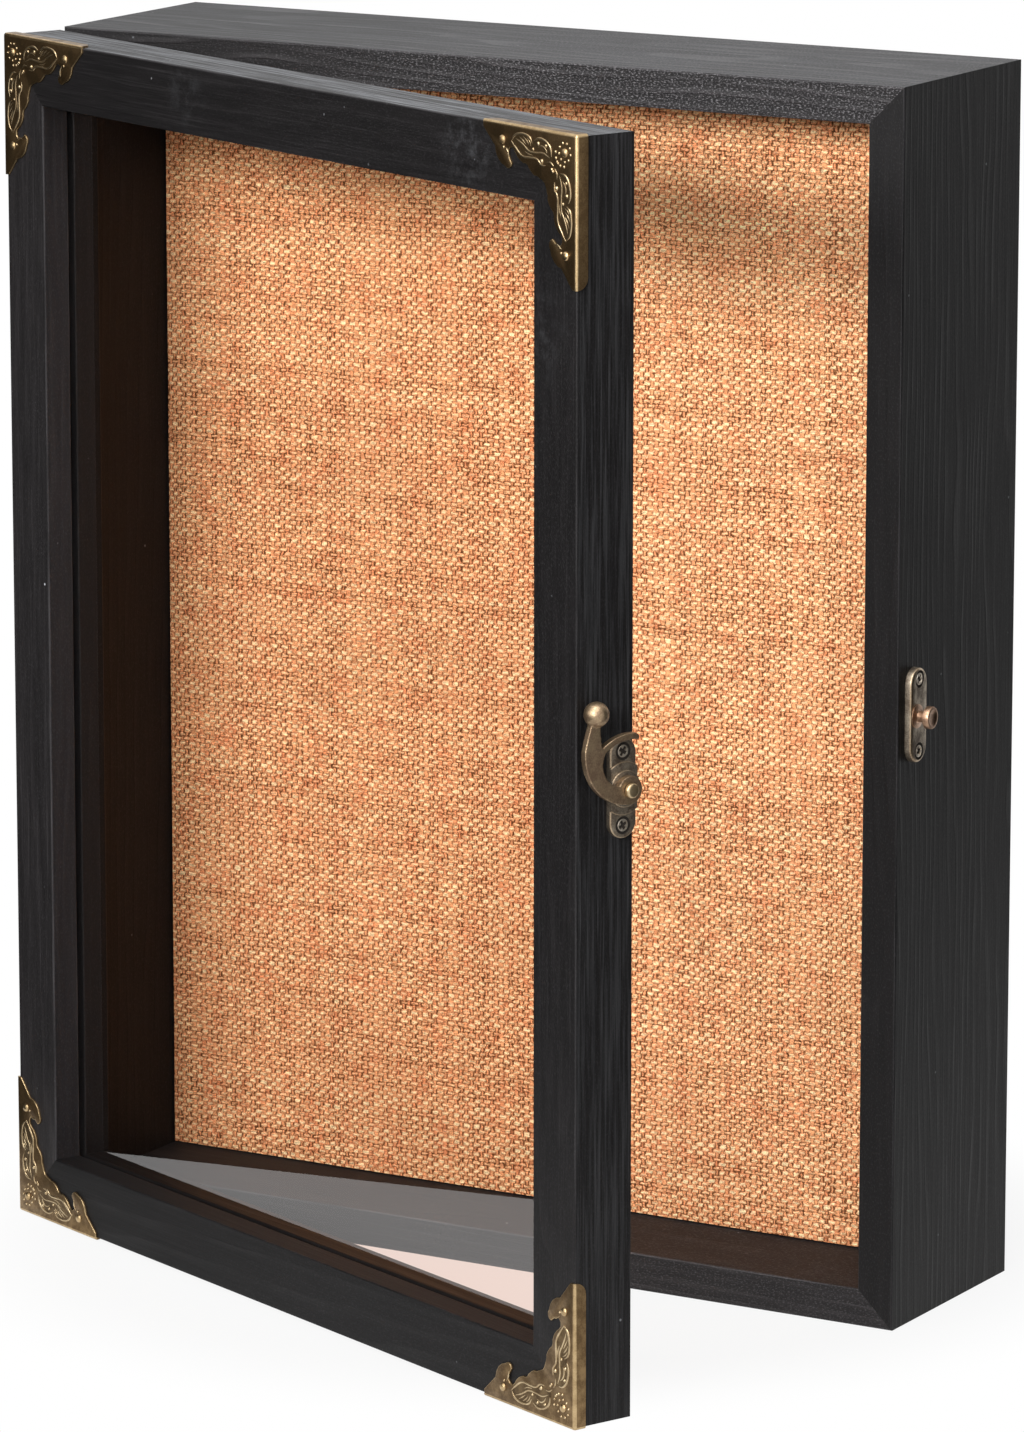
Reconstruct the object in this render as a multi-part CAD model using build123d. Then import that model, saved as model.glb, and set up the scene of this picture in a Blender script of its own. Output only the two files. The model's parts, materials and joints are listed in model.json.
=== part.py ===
from build123d import *
import math
import os

# Butterfly display case: a shallow box of four mitred boards with a burlap-faced
# pin board inside, and a glazed door hung on two butt hinges at the left. Brass
# corner protectors guard the door's corners, and a swing hook on the door's right
# side catches a stud on the case's right side.
#
# Units are millimetres. X runs across the width to the right, Y from the front to
# the back, and Z up. The origin is the centre of the underside of the bottom board.
# The door's pieces are made shut and then turned about the hinge pins.

# ---------------------------------------------------------------- driving sizes

# Case, seen from the front.
case_width = 277.0
case_height = 356.0
board_thickness = 11.0

# Case, layer by layer from its front edge to its back edge.
display_depth = 36.0
lining_thickness = 0.8
pin_board_thickness = 15.0
batten_depth = 13.0
back_panel_thickness = 4.0
back_recess = 3.2

# Inside of the case.
batten_width = 12.0
back_rabbet_width = 5.5
back_panel_clearance = 0.4
pin_board_clearance = 0.5

# Door, layer by layer from its front face to its back face.
front_lip_depth = 8.6
glass_thickness = 2.0
bead_depth = 8.6

# Door, seen from the front.
door_member_width = 19.2
glass_rabbet_width = 5.0
glass_clearance = 0.5
door_end_clearance = 0.8
door_gap = 0.5
door_open_angle = 23.3

# Butt hinges on the left side faces.
hinge_height = 28.0
hinge_inset = 72.0
hinge_leaf_width = 11.0
hinge_leaf_thickness = 0.9
hinge_knuckle_radius = 1.9
hinge_knuckles = 5
hinge_knuckle_gap = 0.2
hinge_pin_radius = 1.0
hinge_pin_head_radius = 1.6
hinge_pin_head_height = 0.8
hinge_wood_clearance = 0.1
hinge_screw_spacing = 17.0
hinge_screw_from_axis = 6.9

# Countersunk wood screws of the hinges, the latch and the catch.
screw_shank_radius = 0.9
screw_head_radius = 1.9
screw_head_depth = 0.9
screw_length = 8.5
screw_slot_width = 0.5
screw_slot_depth = 0.5
screw_slot_share = 0.65

# Screws that hold the back panel in its rabbet.
panel_screw_length = 14.0
panel_screw_from_corner = 70.0

# Swing latch on the door's right side face.
latch_plate_width = 8.8
latch_plate_height = 27.6
latch_plate_thickness = 1.6
latch_plate_inset = 0.1
latch_boss_radius = 6.3
latch_boss_height = 1.3
latch_screw_spacing = 20.4
latch_rivet_radius = 1.3
latch_rivet_head_radius = 2.1
latch_rivet_head_height = 1.3

# Hook of the swing latch.
hook_thickness = 2.0
hook_axial_play = 0.1
hook_eye_radius = 3.9
hook_horn_width = 1.8
hook_horn_tip_angle = 79.0
hook_horn_root_angle = 127.0
hook_knob_radius = 3.5
hook_knob_angle = 116.3
hook_knob_reach = 10.6
hook_neck_width = 3.2
hook_stud_clearance = 0.15

# Places on the hook's outline: radii are measured from the horn's inner radius or
# from the eye's, and angles turn up from the direction of the case's back.
hook_eye_bottom_angle = 265.0
hook_arm_back_inset = 1.0
hook_arm_back_angle = 169.0
hook_shoulder_reach = 6.0
hook_shoulder_angle = 141.5
hook_shoulder_mid_reach = 8.2
hook_shoulder_mid_angle = 133.5
hook_neck_turn = 55.0
hook_root_mid_reach = 2.2
hook_root_mid_turn = 3.5
hook_throat_depth = 3.6
hook_throat_turn = 21.0
hook_throat_end_inset = 0.2
hook_throat_end_angle = 158.0
hook_horn_tip_slant = 4.0

# Catch on the case's right side face.
catch_plate_width = 9.4
catch_plate_height = 27.1
catch_plate_thickness = 2.2
catch_plate_setback = 8.8
catch_screw_spacing = 20.7
stud_setback = 7.2
stud_neck_radius = 1.6
stud_flange_radius = 3.4
stud_flange_thickness = 0.5
stud_neck_length = 2.7
stud_head_radius = 2.9
stud_head_length = 2.0

# Brass corner protectors on the door.
corner_leg = 41.0
corner_thickness = 0.6
corner_lip_width = 3.9
corner_pin_radius = 0.6
corner_pin_length = 7.0
corner_pin_head_radius = 1.2
corner_pin_head_height = 0.7

# Sawtooth hangers on the back panel.
hanger_length = 44.0
hanger_height = 8.5
hanger_thickness = 0.8
hanger_foot = 6.0
hanger_rise = 1.4
hanger_spacing = 140.0
hanger_drop = 26.0
hanger_tooth_pitch = 2.6
hanger_tooth_depth = 1.3
hanger_teeth = 9
hanger_rivet_radius = 0.9
hanger_rivet_head_radius = 1.8
hanger_rivet_head_height = 0.7

# Fits shared by several pieces.
pin_running_clearance = 0.05
hole_clearance = 0.1

# ----------------------------------------------------------------- worked sizes

case_depth = (
    display_depth
    + lining_thickness
    + pin_board_thickness
    + batten_depth
    + back_panel_thickness
    + back_recess
)
front_y = -case_depth / 2
back_y = case_depth / 2
lining_y = front_y + display_depth
pin_board_y = lining_y + lining_thickness
batten_y = pin_board_y + pin_board_thickness
back_panel_y = batten_y + batten_depth
side_x = case_width / 2
inner_width = case_width - 2 * board_thickness
inner_x = inner_width / 2

door_height = case_height - 2 * door_end_clearance
door_back_y = front_y - door_gap
bead_y = door_back_y - bead_depth
glass_y = bead_y - glass_thickness
door_front_y = glass_y - front_lip_depth
opening_width = case_width - 2 * door_member_width
opening_height = door_height - 2 * door_member_width
glass_width = opening_width + 2 * glass_rabbet_width - 2 * glass_clearance
glass_height = opening_height + 2 * glass_rabbet_width - 2 * glass_clearance

hinge_x = -side_x - hinge_wood_clearance - hinge_knuckle_radius
hinge_y = front_y - door_gap / 2
hinge_centres = (hinge_inset, case_height - hinge_inset)
knuckle_length = (
    hinge_height - (hinge_knuckles - 1) * hinge_knuckle_gap
) / hinge_knuckles
knuckle_pitch = knuckle_length + hinge_knuckle_gap

latch_z = case_height / 2
pivot_y = door_back_y - latch_plate_inset - latch_plate_width / 2
hook_low = latch_plate_thickness + latch_boss_height + hook_axial_play
hook_high = hook_low + hook_thickness
stud_y = front_y + stud_setback
stud_reach = stud_y - pivot_y
horn_inner_radius = stud_reach + stud_neck_radius + hook_stud_clearance
horn_outer_radius = horn_inner_radius + hook_horn_width
catch_y = front_y + catch_plate_setback

# The hook is latched when the stud's neck stands just short of the horn's root.
hook_latched_angle = hook_horn_root_angle - math.degrees(
    math.asin((stud_neck_radius + hook_stud_clearance) / stud_reach)
)

# Half of a corner protector's scalloped edge, from the tip of one leg to the
# diagonal, as shares of the leg: (along the leg, away from the edge). Each pair of
# points after the first is the middle and the end of an arc.
corner_scallops = (
    (1.000, 0.000),
    ((0.960, 0.085), (0.880, 0.165)),
    ((0.838, 0.238), (0.760, 0.278)),
    ((0.706, 0.276), (0.690, 0.247)),
    ((0.708, 0.222), (0.728, 0.186)),
    ((0.698, 0.152), (0.655, 0.168)),
    ((0.612, 0.208), (0.560, 0.232)),
    ((0.537, 0.231), (0.515, 0.240)),
    ((0.482, 0.276), (0.440, 0.300)),
    ((0.415, 0.300), (0.390, 0.310)),
    ((0.360, 0.320), (0.335, 0.335)),
)
corner_pin_places = ((0.785, 0.100), (0.110, 0.116), (0.100, 0.785))

# -------------------------------------------------------------- shape functions


def block(x_low, x_high, y_low, y_high, z_low, z_high):
    """Box between two corners."""
    middle = Pos((x_low + x_high) / 2, (y_low + y_high) / 2, (z_low + z_high) / 2)
    return middle * Box(x_high - x_low, y_high - y_low, z_high - z_low)


def prism(points, y_low, y_high):
    """Solid with an outline in X and Z, between two Y planes."""
    outline = Wire.make_polygon([(x, y_low, z) for x, z in points])
    return extrude(Face(outline), amount=y_high - y_low, dir=(0, 1, 0))


def outward(x, y, z, normal):
    """Place with its own +Z along a surface's outward normal."""
    return Plane(origin=(x, y, z), z_dir=normal).location


def mitred_member(side, width, height, z_low, member, y_low, y_high):
    """One of the four members of a mitred frame."""
    x_out = width / 2
    x_in = x_out - member
    z_high = z_low + height
    outer = {"left": -x_out, "right": x_out, "bottom": z_low, "top": z_high}[side]
    inner = {
        "left": -x_in,
        "right": x_in,
        "bottom": z_low + member,
        "top": z_high - member,
    }[side]
    if side in ("left", "right"):
        points = [
            (outer, z_low),
            (outer, z_high),
            (inner, z_high - member),
            (inner, z_low + member),
        ]
    else:
        points = [(-x_out, outer), (x_out, outer), (x_in, inner), (-x_in, inner)]
    return prism(points, y_low, y_high)


def flat_screw(length):
    """Countersunk cross-head screw, its flat top at Z 0 and its shank down -Z."""
    head = Pos(0, 0, -screw_head_depth / 2) * Cone(
        screw_shank_radius, screw_head_radius, screw_head_depth
    )
    tip_length = 2 * screw_shank_radius
    shank_length = length - screw_head_depth - tip_length
    shank = Pos(0, 0, -screw_head_depth - shank_length / 2) * Cylinder(
        screw_shank_radius, shank_length
    )
    tip = Pos(0, 0, -length + tip_length / 2) * Cone(
        screw_slot_width / 2, screw_shank_radius, tip_length
    )
    slot_length = screw_slot_share * 2 * screw_head_radius
    slot = Box(slot_length, screw_slot_width, 2 * screw_slot_depth)
    return head + shank + tip - slot - Rot(0, 0, 90) * slot


def flat_screw_hole(length):
    """Pilot and countersink that a countersunk screw fills."""
    head = Pos(0, 0, -screw_head_depth / 2) * Cone(
        screw_shank_radius, screw_head_radius, screw_head_depth
    )
    pilot = Pos(0, 0, -(length + hole_clearance) / 2) * Cylinder(
        screw_shank_radius, length + hole_clearance
    )
    return head + pilot


def domed_pin(radius, length, head_radius, head_height):
    """Round-headed pin or rivet, the head's underside at Z 0 and its shank down -Z."""
    sphere_radius = (head_radius**2 + head_height**2) / (2 * head_height)
    ball = Pos(0, 0, head_height - sphere_radius) * Sphere(sphere_radius)
    above = Pos(0, 0, sphere_radius) * Box(
        2 * sphere_radius, 2 * sphere_radius, 2 * sphere_radius
    )
    dome = ball & above
    shank = Pos(0, 0, -length / 2) * Cylinder(radius, length)
    return dome + shank


def pin_hole(radius, length):
    """Hole that a pin's shank fills, from Z 0 down."""
    return Pos(0, 0, -length / 2) * Cylinder(radius, length)


def hung(shape):
    """Turn a piece of the shut door about the hinge pins to where the door rests."""
    hinge_line = Axis((hinge_x, hinge_y, 0), (0, 0, 1))
    return shape.rotate(hinge_line, -door_open_angle)


# ------------------------------------------------------------- fastener layouts


def hinge_screw_places(toward_back):
    """Places of the screws in the case's leaves (1) or the door's leaves (-1)."""
    x = -side_x - hinge_leaf_thickness
    y = hinge_y + toward_back * hinge_screw_from_axis
    offsets = (-hinge_screw_spacing / 2, hinge_screw_spacing / 2)
    return [
        outward(x, y, centre + offset, (-1, 0, 0))
        for centre in hinge_centres
        for offset in offsets
    ]


def plate_screw_places(thickness, y, spacing):
    """Places of the two screws in a plate on a right side face."""
    return [
        outward(side_x + thickness, y, latch_z + offset, (1, 0, 0))
        for offset in (-spacing / 2, spacing / 2)
    ]


def back_screw_places():
    """Places of the screws that hold the back panel on its rabbet's shoulder."""
    y = back_panel_y + back_panel_thickness
    x_line = inner_x + back_rabbet_width / 2
    z_low = board_thickness - back_rabbet_width / 2
    z_high = case_height - z_low
    across = side_x - panel_screw_from_corner
    up = (panel_screw_from_corner, case_height - panel_screw_from_corner)
    spots = [(x, z) for x in (-x_line, x_line) for z in up]
    spots += [(x, z) for x in (-across, across) for z in (z_low, z_high)]
    return [outward(x, y, z, (0, 1, 0)) for x, z in spots]


def corner_point(corner, along, away):
    """Point of a corner protector, from shares of its leg to X and Z."""
    x_sign, z_sign = corner
    x = x_sign * (side_x - corner_leg * along)
    z = case_height / 2 + z_sign * (door_height / 2 - corner_leg * away)
    return x, z


def corner_pin_spots():
    """Places of the round-headed pins of all four corner protectors."""
    y = door_front_y - corner_thickness
    spots = [
        corner_point(corner, along, away)
        for corner in corners.values()
        for along, away in corner_pin_places
    ]
    return [outward(x, y, z, (0, -1, 0)) for x, z in spots]


corners = {
    "top_left": (-1, 1),
    "top_right": (1, 1),
    "bottom_left": (-1, -1),
    "bottom_right": (1, -1),
}

# ------------------------------------------------------------------------- case


def case_boards():
    """Four mitred boards, rabbeted at the back and drilled for what they hold."""
    rabbet = block(
        -inner_x - back_rabbet_width,
        inner_x + back_rabbet_width,
        back_panel_y,
        back_y,
        board_thickness - back_rabbet_width,
        case_height - board_thickness + back_rabbet_width,
    )
    drilled = [place * flat_screw_hole(panel_screw_length) for place in back_screw_places()]
    left_holes = [place * flat_screw_hole(screw_length) for place in hinge_screw_places(1)]
    right_holes = [
        place * flat_screw_hole(screw_length)
        for place in plate_screw_places(catch_plate_thickness, catch_y, catch_screw_spacing)
    ]
    boards = {}
    for side in ("top", "bottom", "left", "right"):
        board = mitred_member(
            side, case_width, case_height, 0, board_thickness, front_y, back_y
        )
        board -= rabbet
        holes = drilled + {"left": left_holes, "right": right_holes}.get(side, [])
        for hole in holes:
            board -= hole
        boards["case_" + side + "_board"] = board
    return boards


def back_panel():
    """Thin panel in the rabbet, drilled for its screws and the hangers' rivets."""
    x = inner_x + back_rabbet_width - back_panel_clearance
    z_low = board_thickness - back_rabbet_width + back_panel_clearance
    y_high = back_panel_y + back_panel_thickness
    panel = block(-x, x, back_panel_y, y_high, z_low, case_height - z_low)
    for place in back_screw_places():
        panel -= place * flat_screw_hole(panel_screw_length)
    for place in hanger_rivet_places():
        panel -= place * pin_hole(hanger_rivet_radius, hanger_thickness + back_panel_thickness)
    return panel


def battens():
    """Strips glued round the inside that carry the pin board clear of the back."""
    y_high = batten_y + batten_depth
    z_low = board_thickness
    z_high = case_height - board_thickness
    low_end = z_low + batten_width
    high_end = z_high - batten_width
    return {
        "batten_top": block(-inner_x, inner_x, batten_y, y_high, high_end, z_high),
        "batten_bottom": block(-inner_x, inner_x, batten_y, y_high, z_low, low_end),
        "batten_left": block(
            -inner_x, -inner_x + batten_width, batten_y, y_high, low_end, high_end
        ),
        "batten_right": block(
            inner_x - batten_width, inner_x, batten_y, y_high, low_end, high_end
        ),
    }


def lining_layer(y_low, thickness):
    """Sheet that fills the inside of the case from wall to wall, less a clearance."""
    x = inner_x - pin_board_clearance
    z_low = board_thickness + pin_board_clearance
    return block(-x, x, y_low, y_low + thickness, z_low, case_height - z_low)


def hanger_rivet_places():
    """Places of the rivets through the feet of both hangers."""
    y = back_panel_y + back_panel_thickness + hanger_thickness
    z = case_height - board_thickness - hanger_drop
    reach = hanger_length / 2 - hanger_foot / 2
    return [
        outward(side * hanger_spacing / 2 + end * reach, y, z, (0, 1, 0))
        for side in (-1, 1)
        for end in (-1, 1)
    ]


def hanger(side):
    """Sawtooth hanger: a strip with two feet and a raised, toothed middle."""
    half = hanger_length / 2
    foot = half - hanger_foot
    ramp = foot - hanger_rise
    t = hanger_thickness
    rise = hanger_rise
    profile = [
        (-half, 0),
        (-foot, 0),
        (-ramp, rise),
        (ramp, rise),
        (foot, 0),
        (half, 0),
        (half, t),
        (foot, t),
        (ramp, rise + t),
        (-ramp, rise + t),
        (-foot, t),
        (-half, t),
    ]
    outline = Wire.make_polygon([(x, y, 0) for x, y in profile])
    strip = extrude(Face(outline), amount=hanger_height, dir=(0, 0, 1))
    notch_half = hanger_tooth_pitch / 2
    for i in range(hanger_teeth):
        x = (i - (hanger_teeth - 1) / 2) * hanger_tooth_pitch
        notch = prism(
            [(x - notch_half, 0), (x, hanger_tooth_depth), (x + notch_half, 0)], 0, rise + t
        )
        strip -= notch
    y = back_panel_y + back_panel_thickness
    z = case_height - board_thickness - hanger_drop - hanger_height / 2
    strip = Pos(side * hanger_spacing / 2, y, z) * strip
    for place in hanger_rivet_places():
        strip -= place * pin_hole(hanger_rivet_radius, 2 * hanger_thickness)
    return strip


# ----------------------------------------------------------------------- hinges


def knuckles(centre, first, radius, extra):
    """Every second knuckle's cylinder of a hinge, starting with the first or next."""
    bottom = centre - hinge_height / 2
    found = []
    for i in range(first, hinge_knuckles, 2):
        middle = bottom + knuckle_length / 2 + i * knuckle_pitch
        place = Pos(hinge_x, hinge_y, middle)
        found.append(place * Cylinder(radius, knuckle_length + 2 * extra))
    return found


def hinge_leaf(centre, toward_back):
    """Leaf of a butt hinge: on the case (1) or on the door (-1)."""
    own = 0 if toward_back > 0 else 1
    ends = sorted((hinge_y, hinge_y + toward_back * hinge_leaf_width))
    z_low = centre - hinge_height / 2
    leaf = block(
        -side_x - hinge_leaf_thickness, -side_x, ends[0], ends[1], z_low, z_low + hinge_height
    )
    swept = hinge_knuckle_radius + hinge_knuckle_gap
    for room in knuckles(centre, 1 - own, swept, hinge_knuckle_gap):
        leaf -= room
    for knuckle in knuckles(centre, own, hinge_knuckle_radius, 0):
        leaf += knuckle
    leaf -= Pos(hinge_x, hinge_y, centre) * Cylinder(
        hinge_pin_radius + pin_running_clearance, 2 * hinge_height
    )
    for place in hinge_screw_places(toward_back):
        leaf -= place * flat_screw_hole(screw_length)
    return leaf


def hinge_pin(centre):
    """Pin through a hinge's knuckles, with a flat head at each end."""
    pin = Pos(hinge_x, hinge_y, centre) * Cylinder(hinge_pin_radius, hinge_height)
    for end in (-1, 1):
        z = centre + end * (hinge_height + hinge_pin_head_height) / 2
        pin += Pos(hinge_x, hinge_y, z) * Cylinder(
            hinge_pin_head_radius, hinge_pin_head_height
        )
    return pin


# ------------------------------------------------------------------------- door


def door_members():
    """Two rails and two stiles, mitred, rabbeted for the glass and drilled."""
    x_rabbet = opening_width / 2 + glass_rabbet_width
    z_rabbet = door_end_clearance + door_member_width - glass_rabbet_width
    rabbet = block(
        -x_rabbet, x_rabbet, glass_y, door_back_y, z_rabbet, case_height - z_rabbet
    )
    pins = [place * pin_hole(corner_pin_radius, corner_pin_length) for place in corner_pin_spots()]
    left_holes = [place * flat_screw_hole(screw_length) for place in hinge_screw_places(-1)]
    right_holes = [
        place * flat_screw_hole(screw_length)
        for place in plate_screw_places(latch_plate_thickness, pivot_y, latch_screw_spacing)
    ]
    sides = {
        "door_top_rail": ("top", pins),
        "door_bottom_rail": ("bottom", pins),
        "door_left_stile": ("left", pins + left_holes),
        "door_right_stile": ("right", pins + right_holes),
    }
    members = {}
    for name, (side, holes) in sides.items():
        member = mitred_member(
            side,
            case_width,
            door_height,
            door_end_clearance,
            door_member_width,
            door_front_y,
            door_back_y,
        )
        member -= rabbet
        for hole in holes:
            member -= hole
        members[name] = member
    return members


def glass_pane():
    """Pane that lies on the shoulder of the rabbet."""
    z_low = (case_height - glass_height) / 2
    return block(
        -glass_width / 2, glass_width / 2, glass_y, bead_y, z_low, case_height - z_low
    )


def glass_beads():
    """Four mitred strips that fill the rabbet behind the glass."""
    width = opening_width + 2 * glass_rabbet_width
    height = opening_height + 2 * glass_rabbet_width
    z_low = (case_height - height) / 2
    return {
        "glass_bead_" + side: mitred_member(
            side, width, height, z_low, glass_rabbet_width, bead_y, door_back_y
        )
        for side in ("top", "bottom", "left", "right")
    }


def corner_lip(corner, across):
    """Folded edge of a corner protector, on the rail's side (True) or the stile's."""
    radius = corner_lip_width
    y_low = door_front_y - corner_thickness
    y_fold = y_low + corner_lip_width
    straight = corner_leg - radius
    outline = [
        Line((-corner_thickness, y_low), (corner_leg, y_low)),
        ThreePointArc(
            (corner_leg, y_low),
            (straight + radius * math.cos(math.pi / 4), y_low + radius * math.sin(math.pi / 4)),
            (straight, y_fold),
        ),
        Line((straight, y_fold), (-corner_thickness, y_fold)),
        Line((-corner_thickness, y_fold), (-corner_thickness, y_low)),
    ]
    face = make_face(outline)
    lip = extrude(face, amount=corner_thickness, dir=(0, 0, 1))
    if not across:
        lip = lip.rotate(Axis.Y, -90).mirror(Plane.YZ)
    x_sign, z_sign = corner
    if across:
        lip = lip.mirror(Plane.YZ)
        lip = Pos(side_x, 0, door_height / 2) * lip
    else:
        lip = lip.mirror(Plane.XY)
        lip = Pos(side_x, 0, door_height / 2) * lip
    if x_sign < 0:
        lip = lip.mirror(Plane.YZ)
    if z_sign < 0:
        lip = lip.mirror(Plane.XY)
    return Pos(0, 0, case_height / 2) * lip


def corner_protector(corner):
    """Pierced brass corner: a scalloped plate with a lip over each outer face."""
    y = door_front_y

    def spot(along, away):
        x, z = corner_point(corner, along, away)
        return (x, y, z)

    edges = []
    last = corner_scallops[0]
    for middle, end in corner_scallops[1:]:
        edges.append(ThreePointArc(spot(*last), spot(*middle), spot(*end)))
        last = end
    back_again = [corner_scallops[0]] + [end for _, end in corner_scallops[1:]]
    for i in range(len(corner_scallops) - 1, 0, -1):
        middle = corner_scallops[i][0]
        start, end = back_again[i], back_again[i - 1]
        edges.append(
            ThreePointArc(
                spot(start[1], start[0]), spot(middle[1], middle[0]), spot(end[1], end[0])
            )
        )
    edges.append(Line(spot(0, 1), spot(0, 0)))
    edges.append(Line(spot(0, 0), spot(1, 0)))
    plate = extrude(make_face(edges), amount=corner_thickness, dir=(0, -1, 0))
    plate = plate + corner_lip(corner, True) + corner_lip(corner, False)
    for place in corner_pin_spots():
        plate -= place * pin_hole(corner_pin_radius, 2 * corner_thickness)
    return plate


# ------------------------------------------------------------------ latch, catch


def side_slot(width, height, thickness, y):
    """Plate with round ends on a right side face."""
    flat = extrude(SlotOverall(height, width), amount=thickness)
    place = Plane(origin=(side_x, y, latch_z), x_dir=(0, 0, 1), z_dir=(1, 0, 0))
    return place.location * flat


def latch_plate():
    """Door plate of the latch, with a pressed boss that the hook turns on."""
    plate = side_slot(latch_plate_width, latch_plate_height, latch_plate_thickness, pivot_y)
    tall = side_slot(
        latch_plate_width,
        latch_plate_height,
        latch_plate_thickness + latch_boss_height,
        pivot_y,
    )
    boss = outward(side_x, pivot_y, latch_z, (1, 0, 0)) * Cylinder(
        latch_boss_radius, 2 * (latch_plate_thickness + latch_boss_height)
    )
    plate += tall & boss
    for place in plate_screw_places(latch_plate_thickness, pivot_y, latch_screw_spacing):
        plate -= place * flat_screw_hole(screw_length)
    plate -= outward(side_x + hook_low, pivot_y, latch_z, (1, 0, 0)) * pin_hole(
        latch_rivet_radius, hook_low
    )
    return plate


def latch_rivet():
    """Rivet that the hook turns on, headed over the hook's eye."""
    head_low = hook_high + hook_axial_play
    rivet = domed_pin(
        latch_rivet_radius, head_low, latch_rivet_head_radius, latch_rivet_head_height
    )
    return outward(side_x + head_low, pivot_y, latch_z, (1, 0, 0)) * rivet


def polar(radius, angle):
    """Point in the hook's own plane: X towards the case's back, Y up."""
    turn = math.radians(angle)
    return (radius * math.cos(turn), radius * math.sin(turn))


def latch_hook():
    """Hook: an eye, a crescent arm, a horn that draws the stud in, and a ball knob."""
    knob_radius_at = horn_inner_radius + hook_knob_reach
    knob = polar(knob_radius_at, hook_knob_angle)
    eye_bottom = polar(hook_eye_radius, hook_eye_bottom_angle)
    arm_back = polar(horn_inner_radius - hook_arm_back_inset, hook_arm_back_angle)
    arm_shoulder = polar(horn_inner_radius + hook_shoulder_reach, hook_shoulder_angle)
    neck_lean = math.radians(hook_knob_angle - hook_neck_turn)
    half_neck = hook_neck_width / 2
    neck_left = (
        knob[0] - half_neck * math.sin(neck_lean),
        knob[1] + half_neck * math.cos(neck_lean),
    )
    neck_right = (
        knob[0] + half_neck * math.sin(neck_lean),
        knob[1] - half_neck * math.cos(neck_lean),
    )
    shoulder_mid = polar(
        horn_inner_radius + hook_shoulder_mid_reach, hook_shoulder_mid_angle
    )
    root_out = polar(horn_outer_radius, hook_horn_root_angle)
    root_mid = polar(
        horn_outer_radius + hook_root_mid_reach, hook_horn_root_angle - hook_root_mid_turn
    )
    root_in = polar(horn_inner_radius, hook_horn_root_angle)
    throat = polar(
        horn_inner_radius - hook_throat_depth, hook_horn_root_angle + hook_throat_turn
    )
    throat_end = polar(hook_eye_radius - hook_throat_end_inset, hook_throat_end_angle)
    arm = make_face(
        [
            ThreePointArc(eye_bottom, arm_back, arm_shoulder),
            ThreePointArc(arm_shoulder, shoulder_mid, neck_left),
            Line(neck_left, neck_right),
            ThreePointArc(neck_right, root_mid, root_out),
            Line(root_out, root_in),
            ThreePointArc(root_in, throat, throat_end),
            Line(throat_end, eye_bottom),
        ]
    )
    horn_tip_in = polar(horn_inner_radius, hook_horn_tip_angle)
    horn_tip_out = polar(horn_outer_radius, hook_horn_tip_angle + hook_horn_tip_slant)
    horn_middle = (hook_horn_root_angle + hook_horn_tip_angle) / 2
    horn = make_face(
        [
            ThreePointArc(root_in, polar(horn_inner_radius, horn_middle), horn_tip_in),
            Line(horn_tip_in, horn_tip_out),
            ThreePointArc(horn_tip_out, polar(horn_outer_radius, horn_middle), root_out),
            Line(root_out, root_in),
        ]
    )
    flat = arm + horn + Circle(hook_eye_radius)
    hook = extrude(flat, amount=hook_thickness)
    hook += Pos(knob[0], knob[1], hook_thickness / 2) * Sphere(hook_knob_radius)
    hook -= Cylinder(latch_rivet_radius + pin_running_clearance, 4 * hook_thickness)
    place = Plane(
        origin=(side_x + hook_low, pivot_y, latch_z), x_dir=(0, 1, 0), z_dir=(1, 0, 0)
    )
    return place.location * hook


def catch_plate():
    """Case plate of the catch, drilled for its screws and the stud."""
    plate = side_slot(catch_plate_width, catch_plate_height, catch_plate_thickness, catch_y)
    for place in plate_screw_places(catch_plate_thickness, catch_y, catch_screw_spacing):
        plate -= place * flat_screw_hole(screw_length)
    plate -= outward(side_x + catch_plate_thickness, stud_y, latch_z, (1, 0, 0)) * pin_hole(
        stud_neck_radius, catch_plate_thickness
    )
    return plate


def catch_stud():
    """Spool-shaped stud riveted into the catch plate."""
    flange_high = catch_plate_thickness + stud_flange_thickness
    neck_high = flange_high + stud_neck_length
    head_high = neck_high + stud_head_length
    stud = Pos(0, 0, neck_high / 2) * Cylinder(stud_neck_radius, neck_high)
    stud += Pos(0, 0, (catch_plate_thickness + flange_high) / 2) * Cylinder(
        stud_flange_radius, stud_flange_thickness
    )
    head = Pos(0, 0, (neck_high + head_high) / 2) * Cylinder(stud_head_radius, stud_head_length)
    stud += head
    return outward(side_x, stud_y, latch_z, (1, 0, 0)) * stud


# --------------------------------------------------------------------- assembly


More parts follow.
